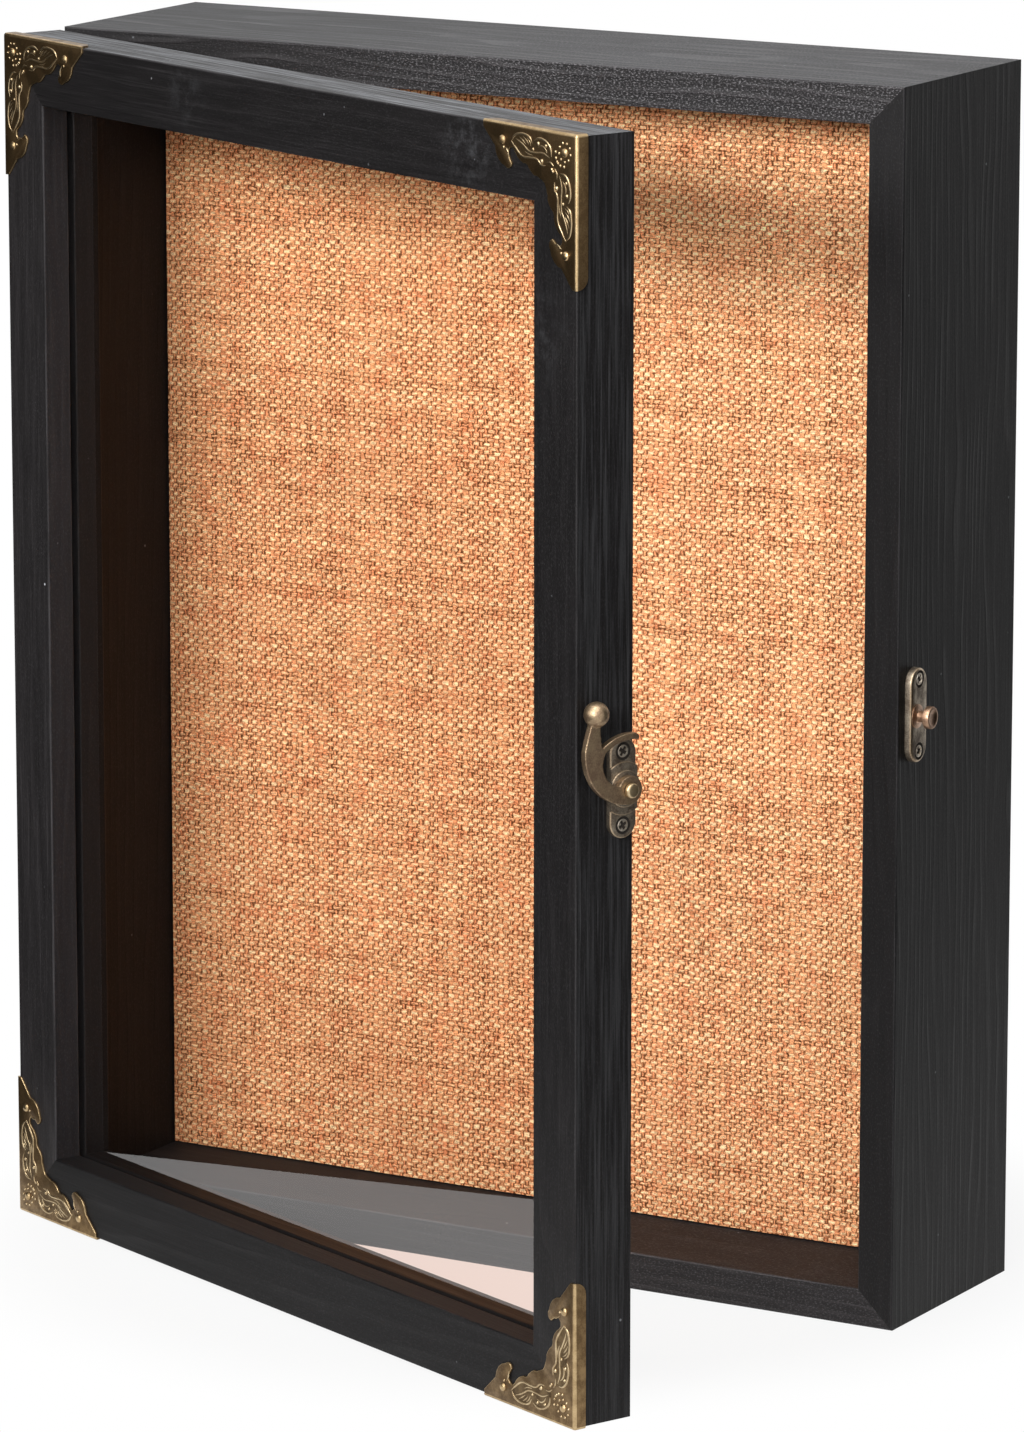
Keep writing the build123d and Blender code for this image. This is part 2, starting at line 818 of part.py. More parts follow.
def case_nodes():
    """Every piece of the case, where it stands."""
    nodes = case_boards()
    nodes["back_panel"] = back_panel()
    nodes["back_panel_screws"] = [
        place * flat_screw(panel_screw_length) for place in back_screw_places()
    ]
    nodes.update(battens())
    nodes["pin_board"] = lining_layer(pin_board_y, pin_board_thickness)
    nodes["burlap_lining"] = lining_layer(lining_y, lining_thickness)
    nodes["hanger_left"] = hanger(-1)
    nodes["hanger_right"] = hanger(1)
    rivet_length = hanger_thickness + back_panel_thickness
    nodes["hanger_rivets"] = [
        place
        * domed_pin(
            hanger_rivet_radius,
            rivet_length,
            hanger_rivet_head_radius,
            hanger_rivet_head_height,
        )
        for place in hanger_rivet_places()
    ]
    for name, centre in zip(("lower", "upper"), hinge_centres):
        nodes["hinge_" + name + "_case_leaf"] = hinge_leaf(centre, 1)
        nodes["hinge_" + name + "_pin"] = hinge_pin(centre)
    nodes["hinge_case_screws"] = [
        place * flat_screw(screw_length) for place in hinge_screw_places(1)
    ]
    nodes["catch_plate"] = catch_plate()
    nodes["catch_stud"] = catch_stud()
    nodes["catch_screws"] = [
        place * flat_screw(screw_length)
        for place in plate_screw_places(catch_plate_thickness, catch_y, catch_screw_spacing)
    ]
    return nodes


def door_nodes():
    """Every piece of the door and its hook, made shut."""
    nodes = door_members()
    nodes["door_glass"] = glass_pane()
    nodes.update(glass_beads())
    for name, corner in corners.items():
        nodes["corner_" + name] = corner_protector(corner)
    nodes["corner_pins"] = [
        place
        * domed_pin(
            corner_pin_radius,
            corner_pin_length,
            corner_pin_head_radius,
            corner_pin_head_height,
        )
        for place in corner_pin_spots()
    ]
    for name, centre in zip(("lower", "upper"), hinge_centres):
        nodes["hinge_" + name + "_door_leaf"] = hinge_leaf(centre, -1)
    nodes["hinge_door_screws"] = [
        place * flat_screw(screw_length) for place in hinge_screw_places(-1)
    ]
    nodes["latch_plate"] = latch_plate()
    nodes["latch_screws"] = [
        place * flat_screw(screw_length)
        for place in plate_screw_places(latch_plate_thickness, pivot_y, latch_screw_spacing)
    ]
    nodes["latch_rivet"] = latch_rivet()
    nodes["latch_hook"] = latch_hook()
    return nodes


def write(name, shape):
    """Write one node's STEP file; a list is a group of separate solids."""
    if isinstance(shape, list):
        shape = Compound(children=shape)
    export_step(shape, "parts/" + name + ".step")


os.makedirs("parts", exist_ok=True)
for name, shape in case_nodes().items():
    write(name, shape)
for name, shape in door_nodes().items():
    if isinstance(shape, list):
        write(name, [hung(piece) for piece in shape])
    else:
        write(name, hung(shape))

print("hinge axis", round(hinge_x, 3), round(hinge_y, 3))
pivot = hung(Pos(side_x, pivot_y, latch_z) * Box(1, 1, 1)).center()
print("hook pivot at rest", round(pivot.X, 3), round(pivot.Y, 3), round(pivot.Z, 3))
print("hook latched angle", round(hook_latched_angle, 2))
print("case depth", round(case_depth, 3), "door thickness", round(door_back_y - door_front_y, 3))
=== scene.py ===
# %% [markdown]
# # A butterfly display case
#
# The real object is a shallow pine box, stained nearly black, with a burlap-faced
# board inside for pinning specimens. A glazed door hangs on two hinges at the left
# and is shut by a swinging brass hook. Pressed brass protectors guard its corners.
#
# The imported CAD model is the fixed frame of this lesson. It says where each piece
# is and how far the door stands open, so every size here is read from it or is a
# small named detail that the CAD leaves out, such as an eased edge or a scroll.

# %% Load the frame
import json
import math

import bpy
from mathutils import Matrix, Vector


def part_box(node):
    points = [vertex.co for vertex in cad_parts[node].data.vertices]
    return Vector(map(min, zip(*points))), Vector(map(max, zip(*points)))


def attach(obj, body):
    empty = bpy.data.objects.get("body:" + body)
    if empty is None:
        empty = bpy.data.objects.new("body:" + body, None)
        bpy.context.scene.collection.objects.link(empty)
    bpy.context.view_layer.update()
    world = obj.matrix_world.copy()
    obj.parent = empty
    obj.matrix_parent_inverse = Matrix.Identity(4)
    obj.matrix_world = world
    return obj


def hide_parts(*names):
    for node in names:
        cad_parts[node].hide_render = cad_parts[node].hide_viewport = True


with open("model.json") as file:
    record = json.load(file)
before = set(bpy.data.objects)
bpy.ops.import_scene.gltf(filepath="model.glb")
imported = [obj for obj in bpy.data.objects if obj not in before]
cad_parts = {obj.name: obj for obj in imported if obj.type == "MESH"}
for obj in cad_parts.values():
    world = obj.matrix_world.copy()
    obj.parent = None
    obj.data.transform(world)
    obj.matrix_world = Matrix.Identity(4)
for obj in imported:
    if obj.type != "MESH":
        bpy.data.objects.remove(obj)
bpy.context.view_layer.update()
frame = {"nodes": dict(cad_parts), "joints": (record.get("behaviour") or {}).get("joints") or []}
MM = 0.001
touching = 0.01 * MM

# %% [markdown]
# ## Where the door hangs
#
# The door is modelled shut, where its faces are parallel to the case, and is then
# turned about the hinge pins. That is how a joiner works too: the door is made
# square on the bench and hung last. The hinge joint gives the line of the pins,
# and its lower limit is the shut door, so the limit is also how far it stands open.

# %% Hinge line and open angle
door_joint = next(j for j in frame["joints"] if j["name"] == "door_hinge")
hinge = Vector(door_joint["pos_m"])
open_angle = math.radians(door_joint["range_deg"][0])
to_hinge = Matrix.Translation(hinge)
OPEN = to_hinge @ Matrix.Rotation(open_angle, 4, "Z") @ to_hinge.inverted()
SHUT = OPEN.inverted()
print("door stands open", round(-math.degrees(open_angle), 1), "degrees")

# %% [markdown]
# ## Main sizes
#
# A piece of the case can be measured where it stands. A piece of the door stands at
# an angle, so its points are turned back shut first, and only then does its box say
# how wide and how thick it is. All the sizes that follow are differences of corners.


# %% Main sizes, read from the frame
def shut_box(node):
    """Lowest and highest corners of a door node once the door is shut."""
    points = [SHUT @ v.co for v in frame["nodes"][node].data.vertices]
    low = Vector(min(p[i] for p in points) for i in range(3))
    high = Vector(max(p[i] for p in points) for i in range(3))
    return low, high


case_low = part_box("case_left_board")[0]
case_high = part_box("case_right_board")[1]
board = case_high.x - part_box("case_right_board")[0].x
cloth_low, cloth_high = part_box("burlap_lining")
door_low = shut_box("door_left_stile")[0]
door_high = shut_box("door_right_stile")[1]
stile = door_high.x - shut_box("door_right_stile")[0].x
case_middle_z = (case_low.z + case_high.z) / 2
print("case", [round(v / MM, 1) for v in case_high - case_low], "board", round(board / MM, 1))
print("door", [round(v / MM, 1) for v in door_high - door_low], "stile", round(stile / MM, 1))

# %% [markdown]
# ## Camera
#
# A long lens from a little above and to the right keeps the case's upright lines
# almost parallel, as product pictures do. The camera looks back along a direction
# given by two angles, from a target near the middle of the case. The lamps at the
# end are aimed in the same way, so the two helpers here serve them as well.


# %% Camera
def direction(azimuth, elevation):
    """A way out from the case: degrees round from the front, and degrees up."""
    a = math.radians(azimuth)
    e = math.radians(elevation)
    return Vector((math.sin(a) * math.cos(e), -math.cos(a) * math.cos(e), math.sin(e)))


def aimed(name, data, target, away, distance):
    """A camera or a lamp, some way out from a target and turned to face it."""
    made = bpy.data.objects.new(name, data)
    bpy.context.scene.collection.objects.link(made)
    made.location = target + away * distance
    made.rotation_mode = "QUATERNION"
    made.rotation_quaternion = away.to_track_quat("Z", "Y")
    return made


view_azimuth = 30.227
view_elevation = 11.982
view_target = Vector((13.39, -36.0, 165.75)) * MM
view_distance = 2220.6 * MM
camera_data = bpy.data.cameras.new("camera")
camera_data.lens = 193.59
camera_data.sensor_width = 36
away = direction(view_azimuth, view_elevation)
camera = aimed("camera", camera_data, view_target, away, view_distance)
bpy.context.scene.camera = camera
bpy.context.scene.view_settings.view_transform = "Standard"
print("camera at", [round(v, 3) for v in camera.location])

# %% [markdown]
# ## Shader maths
#
# A pattern such as wood grain is a formula of the place on the piece. Wiring each
# Math node by hand hides the formula, so this small class wraps a node's output
# and lets Python's own signs add the nodes. Colours and vectors use other nodes,
# because a Math node would turn a colour into a grey.


# %% Sockets as expressions
class Wire:
    """One output of a material's node. Arithmetic on it adds Math nodes."""

    def __init__(self, tree, socket):
        self.tree = tree
        self.socket = socket

    def node(self, kind, settings, values, output=0):
        """A new node: its settings first, then the values or links of its inputs."""
        made = self.tree.nodes.new(kind)
        for name, value in settings.items():
            setattr(made, name, value)
        for name, value in values.items():
            target = made.inputs[name]
            if isinstance(value, Wire):
                self.tree.links.new(value.socket, target)
            else:
                target.default_value = (*value, 1) if target.type == "RGBA" else value
        return Wire(self.tree, made.outputs[output] if made.outputs else None)

    def maths(self, operation, *values):
        """A Math node with these values or wires on its inputs."""
        return self.node("ShaderNodeMath", {"operation": operation}, dict(enumerate(values)))

    def __add__(self, other):
        return self.maths("ADD", self, other)

    def __radd__(self, other):
        return self.maths("ADD", other, self)

    def __sub__(self, other):
        return self.maths("SUBTRACT", self, other)

    def __rsub__(self, other):
        return self.maths("SUBTRACT", other, self)

    def __mul__(self, other):
        return self.maths("MULTIPLY", self, other)

    def __rmul__(self, other):
        return self.maths("MULTIPLY", other, self)

    def __truediv__(self, other):
        return self.maths("DIVIDE", self, other)

    def __pow__(self, other):
        return self.maths("POWER", self, other)


# %% [markdown]
# A few words turn up in every finish: a smooth step between two values, the larger
# of two, a noise, and a mix of two colours. They are written once here, so that the
# finishes below read like the recipe of a stain or a patina.


# %% Words for the finishes
def step(value, low, high):
    """0 at low, 1 at high, and a smooth slope between them."""
    return value.node(
        "ShaderNodeMapRange",
        {"interpolation_type": "SMOOTHSTEP"},
        {"Value": value, "From Min": low, "From Max": high},
    )


def larger(one, other):
    """The larger of two values."""
    return one.maths("MAXIMUM", one, other)


def axes(place):
    """The three coordinates of a place."""
    return [
        place.node("ShaderNodeSeparateXYZ", {}, {"Vector": place}, output=k) for k in "XYZ"
    ]


def joined(x, y, z):
    """A place from three coordinates, the first of which is a wire."""
    return x.node("ShaderNodeCombineXYZ", {}, {"X": x, "Y": y, "Z": z})


def apart(x, y, from_x, from_y):
    """How far a place is from a point, in the plane of two coordinates."""
    off_x = x - from_x
    off_y = y - from_y
    return (off_x * off_x + off_y * off_y) ** 0.5


def stretched(place, scale):
    """A place with each coordinate multiplied, which squeezes a pattern."""
    return place.node("ShaderNodeVectorMath", {"operation": "MULTIPLY"}, {0: place, 1: scale})


def noise(place, scale, detail=2.0, roughness=0.5):
    """Soft random values from about 0.2 to 0.8, scale bumps to the metre."""
    values = {"Vector": place, "Scale": scale, "Detail": detail, "Roughness": roughness}
    return place.node("ShaderNodeTexNoise", {}, values)


def cells(place, scale):
    """How far a place is from the nearest of some scattered points, in cells."""
    values = {"Vector": place, "Scale": scale}
    return place.node("ShaderNodeTexVoronoi", {"feature": "F1"}, values)


def blend(factor, one, other):
    """A colour that goes from one to the other as factor goes from 0 to 1."""
    values = {0: factor, 6: one, 7: other}
    return factor.node("ShaderNodeMix", {"data_type": "RGBA"}, values, output=2)


def tinted(colour, amount):
    """A colour multiplied by an amount, which darkens or lightens it."""
    values = {"Vector": colour, "Scale": amount}
    return colour.node("ShaderNodeVectorMath", {"operation": "SCALE"}, values)


def raised(height, depth, strength=1.0):
    """A normal that makes height, from 0 to 1, look depth metres deep."""
    values = {"Height": height, "Distance": depth, "Strength": strength}
    return height.node("ShaderNodeBump", {}, values)


# %% [markdown]
# ## Start and end of a finish
#
# Every finish starts from the place on the piece, in metres, so a pattern has its
# real size on all pieces alike. Every finish on the object but the glass's ends in
# the same shader, which takes colour, roughness and metal from whatever the recipe
# has worked out.


# %% Start and end of a finish
def new_finish(name):
    """A new material, and a wire of the place on the piece."""
    material = bpy.data.materials.new(name)
    material.use_nodes = True
    tree = material.node_tree
    tree.nodes.clear()
    coordinates = tree.nodes.new("ShaderNodeTexCoord")
    return material, Wire(tree, coordinates.outputs["Object"])


def cover(surface):
    """Ends a material with its shader."""
    surface.node("ShaderNodeOutputMaterial", {}, {"Surface": surface})


def coat(place, values):
    """Ends a material with the usual shader. Keys of values are its own sockets."""
    cover(place.node("ShaderNodeBsdfPrincipled", {}, values))


def layered(share, under, over):
    """Two shaders, of which the upper one shows by its share."""
    return share.node("ShaderNodeMixShader", {}, {0: share, 1: under, 2: over})


def dress(piece, *finishes):
    """Gives a piece its finishes, in place of what it came with."""
    piece.data.materials.clear()
    for finish in finishes:
        piece.data.materials.append(finish)


# %% [markdown]
# ## Black-stained pine
#
# Pine shows its yearly rings. A board is a slice of a trunk, so the pattern on it is
# the distance from the trunk's centre line, cut through by the board's faces: close
# straight lines where the slice is radial and tall arches where it is not. Black
# stain soaks into the soft early wood and leaves the hard late wood a little paler
# and proud. The recipe measures that distance and turns it into rings, some years
# stronger than others. Fine fibres, longer streaks and pale specks follow along the
# grain, the specks standing for open pores and for painted sheen, and each member
# gets a trunk of its own.
#
# Wear comes next. The stain is rubbed thin on the eased edges, in a few scuffs and on
# the faces that hands meet most, and those faces are painted lighter as sheen too.
# Faces inside the case and the door's opening are painted darker and duller, as
# shade. A few specks of dust finish it.

# %% Colours and scales of stained pine
stain_black = (0.0078, 0.0070, 0.0073)
stain_late = (0.0225, 0.0205, 0.0215)
painted_inner_shade = (0.0046, 0.0040, 0.0046)
stain_worn = (0.060, 0.057, 0.060)
pore_and_sheen_pale = (0.180, 0.172, 0.180)
stain_dusty = (0.30, 0.31, 0.33)
ring_width = 2.9 * MM
# Bumps to the metre, from the slow bend of a trunk to a pore.
bend_scale = 24
patch_scale = 30
lean_scale = 60
year_scale = 260
scuff_scale = 260
streak_scale = 420
fibre_scale = 1500
pore_scale = 2500

# %% [markdown]
# The rings are circles about the heart, so the grain rests on one number: how far a
# place lies from it. Slow noises bend that distance. Divided by a ring's width, its
# fraction runs from spring to autumn, and late wood comes up slowly and ends at once.


# %% Grain, dust and wear
def grain_of(place, centre, letters, heart):
    """Late wood, fibres and patches, from 0 to 1, of a member cut beside its heart."""
    values = {0: place, 1: centre}
    local = place.node("ShaderNodeVectorMath", {"operation": "SUBTRACT"}, values)
    found = dict(zip("XYZ", axes(local)))
    along, across, deep = (found[k] for k in letters)
    slow = joined(along * 0.15, across, deep)
    bend = noise(slow, bend_scale) - 0.5
    lean = noise(slow, lean_scale) - 0.5
    bowed_across = across + (bend * 0.016 + lean * 0.005)
    bowed_deep = deep + (lean * 0.010 + along * heart[2])
    distance = apart(bowed_across, bowed_deep, heart[0], heart[1])
    turns = distance * (1 / ring_width)
    ring = turns.maths("FRACT", turns)
    year = step(noise(joined(distance, along * 0.1, 0.0), year_scale), 0.35, 0.65)
    late = step(ring, 0.45, 0.9) * (1 - step(ring, 0.92, 1.0)) * (year * 0.8 + 0.2)
    fibres = noise(joined(along * 0.02, across, deep), fibre_scale, 3.0, 0.7)
    patches = noise(joined(along * 0.3, across, deep), patch_scale)
    return late, fibres, patches


def dust(place):
    """A few pale specks, finer than a millimetre."""
    speck = 1 - step(cells(place, 150.0), 0.03, 0.075)
    return speck * step(noise(place, 45), 0.58, 0.62) * 0.70


def worn_share(place, fibres, worn, worn_and_sheen_face, scuffs):
    """Where the stain is rubbed thin: all over, on one face that is worn and painted lighter as
    sheen, in round scuffs.
    """
    found = dict(zip("XYZ", axes(place)))
    share = worn * step(fibres, 0.35, 0.65)
    # One face is painted lighter: partly wear, partly painted sheen.
    if worn_and_sheen_face:
        letter, face, strength = worn_and_sheen_face
        on_face = step(found[letter], face - 0.4 * MM, face)
        share = share + on_face * step(fibres, 0.40, 0.66) * strength
    for spot_x, spot_z, reach, strength in scuffs:
        near = 1 - step(apart(found["X"], found["Z"], spot_x, spot_z), 0.2 * reach, reach)
        scratches = step(noise(place, scuff_scale, 4.0, 0.7), 0.42, 0.75)
        share = share + near * scratches * strength
    return share


# %% [markdown]
# The recipe takes what differs from board to board: where its trunk runs, how dark
# it took the stain and how much painted light or shade its tone carries, how strongly
# its rings show, how many pale specks it has, which stand for open pores and painted
# sheen, and where it is worn or painted lighter as sheen. The pores of level boards
# are torn open towards one end, as a planer tears wood where the grain rises, so they
# fade in along the board.


# %% Recipe for stained pine
def stained_pine(
    name,
    centre,
    letters,
    heart,
    hung=False,
    tone_and_painted_light=1.0,
    rings=0.4,
    pores_and_sheen=0.06,
    inner=None,
    worn=0.0,
    worn_and_sheen_face=None,
    scuffs=(),
):
    """Pine stained black. letters name the axes along the grain, across it and deep."""
    material, place = new_finish(name)
    dusty = dust(place)
    if hung:
        turn = {"Rotation": (0, 0, -open_angle), "Location": SHUT.to_translation()}
        place = place.node("ShaderNodeMapping", {}, {"Vector": place, **turn})
    level = letters[0] == "X"
    late, fibres, patches = grain_of(place, centre, letters, heart)
    streak_shape = (0.08, 1.0, 1.0) if level else (1.0, 1.0, 0.08)
    streaks = noise(stretched(place, streak_shape), streak_scale, 3.0, 0.65)
    pore_shape = (0.5, 1.0, 1.0) if level else (1.0, 1.0, 0.5)
    pore = noise(stretched(place, pore_shape), pore_scale, 3.0, 0.7)

    # Rings and fibres, pale on black.
    grain = late * (fibres * 0.9 + 0.25) * rings + step(fibres, 0.50, 0.78) * 0.75
    colour = blend(grain * (patches * 1.3), stain_black, stain_late)
    sheen = fibres * 0.25 + (0.42 - late * 0.08)
    # Painted shade: the inner face is darker, and duller.
    found = dict(zip("XYZ", axes(place)))
    if inner:
        letter, from_value, to_value = inner
        side = step(found[letter], from_value, to_value)
        brown = blend(late * 0.5, painted_inner_shade, stain_black)
        colour = blend(side * (patches + 0.2), colour, brown)
        sheen = larger(sheen, side * 0.65)
    # Wear and dust, then streaks over all of it, then the pale specks: open pores and painted
    # sheen.
    rubbed = dusty + worn_share(place, fibres, worn, worn_and_sheen_face, scuffs)
    colour = blend(rubbed, colour, stain_worn if worn else stain_dusty)
    # Tone: partly how dark the member took the stain, partly painted light, lighter or darker by
    # how its faces are lit.
    colour = tinted(colour, (streaks * 1.2 + 0.4) * tone_and_painted_light)
    torn = step(found["X"], -0.09, 0.03) * 0.85 + 0.15 if level else 1.0
    colour = blend(step(pore, 0.50, 0.68) * torn * pores_and_sheen, colour, pore_and_sheen_pale)
    values = {
        "Base Color": colour,
        "Roughness": sheen,
        "Normal": raised(late * rings + fibres * 0.8 + pore * 0.3, 0.16 * MM, 0.55),
        "Specular IOR Level": 0.18,
    }
    coat(place, values)
    return material


# %% [markdown]
# ## Sawing a member
#
# Each of the four boards of the case and the four members of the door is made as at
# the bench: a block is cut to size, a rabbet is ploughed along its inner back edge,
# the long edges are eased with a touch of sandpaper, and both ends are mitred. The
# eased edges get a second finish, because stain rubs thin there. A block and a
# boolean rabbet were chosen over one long profile, because the steps and the sizes
# are then the ones that the real member has.


# %% Small bench tools
def clear_selection():
    bpy.ops.object.select_all(action="DESELECT")


def only(piece):
    """Makes piece the one that is selected and active."""
    clear_selection()
    piece.select_set(True)
    bpy.context.view_layer.objects.active = piece


def settle(piece):
    """Puts the piece's place, turn and size into its mesh."""
    only(piece)
    bpy.ops.object.transform_apply(location=True, rotation=True, scale=True)


def fresh(name, scale=(1, 1, 1), turn=(0, 0, 0)):
    """The primitive that was just added: named, sized, turned and settled."""
    made = bpy.context.object
    made.name = name
    made.scale = scale
    made.rotation_euler = turn
    settle(made)
    return made


def block(name, low, high):
    """A block between two corners."""
    clear_selection()
    bpy.ops.mesh.primitive_cube_add(size=1, location=(low + high) / 2)
    return fresh(name, scale=high - low)


def choose(piece, kind, rule):
    """Goes into edit mode with only the vertices, edges or faces that keep the rule."""
    only(piece)
    bpy.ops.object.mode_set(mode="EDIT")
    bpy.ops.mesh.select_mode(type=kind)
    bpy.ops.mesh.select_all(action="DESELECT")
    bpy.ops.object.mode_set(mode="OBJECT")
    parts = {"VERT": "vertices", "EDGE": "edges", "FACE": "polygons"}[kind]
    for part in getattr(piece.data, parts):
        part.select = rule(part)
    bpy.ops.object.mode_set(mode="EDIT")


def choose_all(piece, kind="FACE"):
    choose(piece, kind, lambda part: True)


def looks_up(face):
    return face.normal.z > 0.9


def looks_down(face):
    return face.normal.z < -0.9


def face_out():
    """In edit mode, turns every face of the piece outwards."""
    bpy.ops.mesh.select_all(action="SELECT")
    bpy.ops.mesh.normals_make_consistent(inside=False)


def done():
    bpy.ops.object.mode_set(mode="OBJECT")


def apply_modifier(piece, kind, **settings):
    """Adds a modifier, sets it and applies it."""
    only(piece)
    modifier = piece.modifiers.new(kind.lower(), kind)
    for name, value in settings.items():
        setattr(modifier, name, value)
    bpy.ops.object.modifier_apply(modifier=modifier.name)


def carve(piece, tool, operation="DIFFERENCE"):
    """Takes the tool's shape out of the piece, or adds or keeps it, and drops the tool."""
    apply_modifier(piece, "BOOLEAN", operation=operation, solver="EXACT", object=tool)
    bpy.data.objects.remove(tool)


def saw(piece, point, normal):
    """Saws the piece with a plane, and keeps what is behind the plane."""
    choose_all(piece)
    bpy.ops.mesh.bisect(
        plane_co=point, plane_no=normal, use_fill=True, clear_outer=True, clear_inner=False
    )
    done()


def soften(degrees):
    """Smooth shading, except over edges sharper than this."""
    bpy.ops.object.shade_smooth_by_angle(angle=math.radians(degrees))


def hang(piece):
    """Turns a piece of the shut door about the hinge pins, to where the door rests."""
    piece.matrix_world = OPEN @ piece.matrix_world
    settle(piece)


def stand_for(piece, node, body):
    """Says which CAD node a piece replaces and what carries it."""
    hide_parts(node)
    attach(piece, body)
    print(piece.name, "on", body, "with", len(piece.data.polygons), "faces")


# %% [markdown]
# A frame has four sides, and each points out along one axis, up or down it. The mitre
# of a member is a plane through its outer corner, halfway between the member's own
# axis and its outward one. The inner faces, painted darker as shade, are told from the
# outer ones in the same way, by how far a place is past the face.

# %% A mitred member
SIDES = {"top": (2, 1), "bottom": (2, -1), "left": (0, -1), "right": (0, 1)}
eased = 0.45 * MM


def ease_long_edges(piece, along):
    """Rounds the edges that run along one axis, and gives them the second finish."""
    corners = piece.data.vertices

    def runs_along(edge):
        reach = corners[edge.vertices[0]].co - corners[edge.vertices[1]].co
        return abs(reach[along]) > 0.9 * reach.length

    choose(piece, "EDGE", runs_along)
    bpy.ops.mesh.bevel(offset=eased, offset_type="OFFSET", segments=3, material=1)
    done()


def member(name, low, high, side, rabbet, finishes):
    """A member of a mitred frame: block, rabbet, eased edges, mitres."""
    along = 0 if side in ("top", "bottom") else 2
    out, sign = SIDES[side]
    piece = block(name, low, high)
    dress(piece, *finishes)
    if rabbet:
        spare = Vector((0, 0, 0))
        spare[along] = case_high.z
        past_back = Vector((0, board, 0))
        carve(piece, block("plough", rabbet[0] - spare, rabbet[1] + spare + past_back))
    ease_long_edges(piece, along)
    for end in (-1, 1):
        corner = Vector((0, 0, 0))
        corner[along] = high[along] if end > 0 else low[along]
        corner[out] = high[out] if sign > 0 else low[out]
        normal = Vector((0, 0, 0))
        normal[along] = end
        normal[out] = -sign
        saw(piece, corner, normal)
    return piece


def inner_face(side, low, high, skin=0.0):
    """The axis and the slope by which a side's colour turns to painted shade at its inner face."""
    axis, sign = SIDES[side]
    face = (high if sign > 0 else low)[axis]
    return "XYZ"[axis], face + sign * 0.6 * MM, face + sign * skin


def stained_member(name, node, side, rabbet, body, worn, look, **face_look):
    """A mitred member with two finishes of its own, one for its faces and one for wear."""
    on_door = body == "door"
    low, high = shut_box(node) if on_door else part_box(node)
    look = {**look, "centre": (low + high) / 2, "hung": on_door}
    wood = stained_pine(f"stained_{name}", **look, **face_look)
    edge = stained_pine(f"eased_{name}", worn=worn, **look)
    piece = member(name, low, high, side, rabbet, (wood, edge))
    if on_door:
        hang(piece)
    stand_for(piece, node, body)


def rabbet_for(low, high, room):
    """The corners of a rabbet that takes a panel with a little room round it."""
    grow = Vector((room, 0, room))
    return low - grow, high + grow


# %% [markdown]
# ## The case
#
# Four boards meet in mitres. The rabbet at the back is the size of the back panel
# with a little room round it. The trunk of each board lies a few centimetres off
# its wide face, which gives straight grain near the edges and an arch or two. The
# top board shows its rings and its pale specks most, the specks being open pores and
# painted sheen, and its upper face is painted lighter, partly as wear from hands and
# partly as sheen. Each board's tone carries painted light too: the top and bottom
# boards are lighter and the right board is darker.

# %% Case boards
case_rabbet = rabbet_for(*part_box("back_panel"), 0.4 * MM)
inner_low = case_low + Vector((board, 0, board))
inner_high = case_high - Vector((board, 0, board))
# Tones are partly stain and partly painted light: top and bottom boards lighter as sheen, the
# right board darker as shade.
case_looks = {
    "top": {
        "letters": "XYZ", "heart": (0.012, 0.060, 0.03), "tone_and_painted_light": 1.18, "rings": 1.8,
        "pores_and_sheen": 1.0, "worn_and_sheen_face": ("Z", case_high.z, 0.17),
    },
    "bottom": {
        "letters": "XYZ", "heart": (-0.02, -0.055, 0.02), "tone_and_painted_light": 1.9, "rings": 0.8,
        "pores_and_sheen": 0.30,
    },
    "left": {
        "letters": "ZYX", "heart": (0.015, -0.050, 0.02), "tone_and_painted_light": 0.9, "rings": 0.9,
        "pores_and_sheen": 0.08,
    },
    "right": {
        "letters": "ZYX", "heart": (0.040, 0.030, 0.01), "tone_and_painted_light": 0.62, "rings": 0.6,
        "pores_and_sheen": 0.08,
    },
}
for side, look in case_looks.items():
    inner = inner_face(side, inner_low, inner_high, 0.1 * MM)
    stained_member(
        f"{side}_board", f"case_{side}_board", side, case_rabbet, "case", 0.5, look, inner=inner
    )

# %% [markdown]
# ## The door's frame
#
# The door is narrower and deeper in section than the case boards, almost square. Its
# rabbet holds the glass, and four thin beads behind the glass fill the rest of it.
# The pieces are made shut and then hung. The top rail's upper face is painted lightest,
# partly as wear where hands push the door and partly as sheen, the right stile's outer
# face a little, and a few smears are left on the front.

# %% Door rails and stiles
door_rabbet = rabbet_for(*shut_box("door_glass"), 0.5 * MM)
opening_low = door_low + Vector((stile, 0, stile))
opening_high = door_high - Vector((stile, 0, stile))
# Each smear: where it is along X and Z, its reach and its strength.
smears = ((-0.045, 0.347, 0.012, 0.05), (0.090, 0.347, 0.016, 0.12), (0.12, 0.30, 0.02, 0.05))
# Tones are partly stain and partly painted light, lighter or darker by how each member is lit.
door_looks = {
    "top_rail": {
        "letters": "XZY", "heart": (0.03, 0.045, 0.02), "tone_and_painted_light": 0.9,
        "worn_and_sheen_face": ("Z", door_high.z, 0.80),
    },
    "bottom_rail": {"letters": "XZY", "heart": (-0.03, 0.05, 0.02), "tone_and_painted_light": 0.50},
    "left_stile": {"letters": "ZXY", "heart": (0.02, 0.04, 0.01), "tone_and_painted_light": 1.65},
    "right_stile": {
        "letters": "ZXY", "heart": (0.004, 0.030, 0.05), "tone_and_painted_light": 0.90,
        "worn_and_sheen_face": ("X", door_high.x, 0.08),
    },
}
for part, look in door_looks.items():
    side = part.split("_")[0]
    face_look = {"inner": inner_face(side, opening_low, opening_high), "scuffs": smears}
    stained_member(part, f"door_{part}", side, door_rabbet, "door", 0.25, look, **face_look)

# %% [markdown]
# The beads that hold the pane are thin strips with mitred ends. They need no rabbet,
# and they share one plain look, since little of them shows.

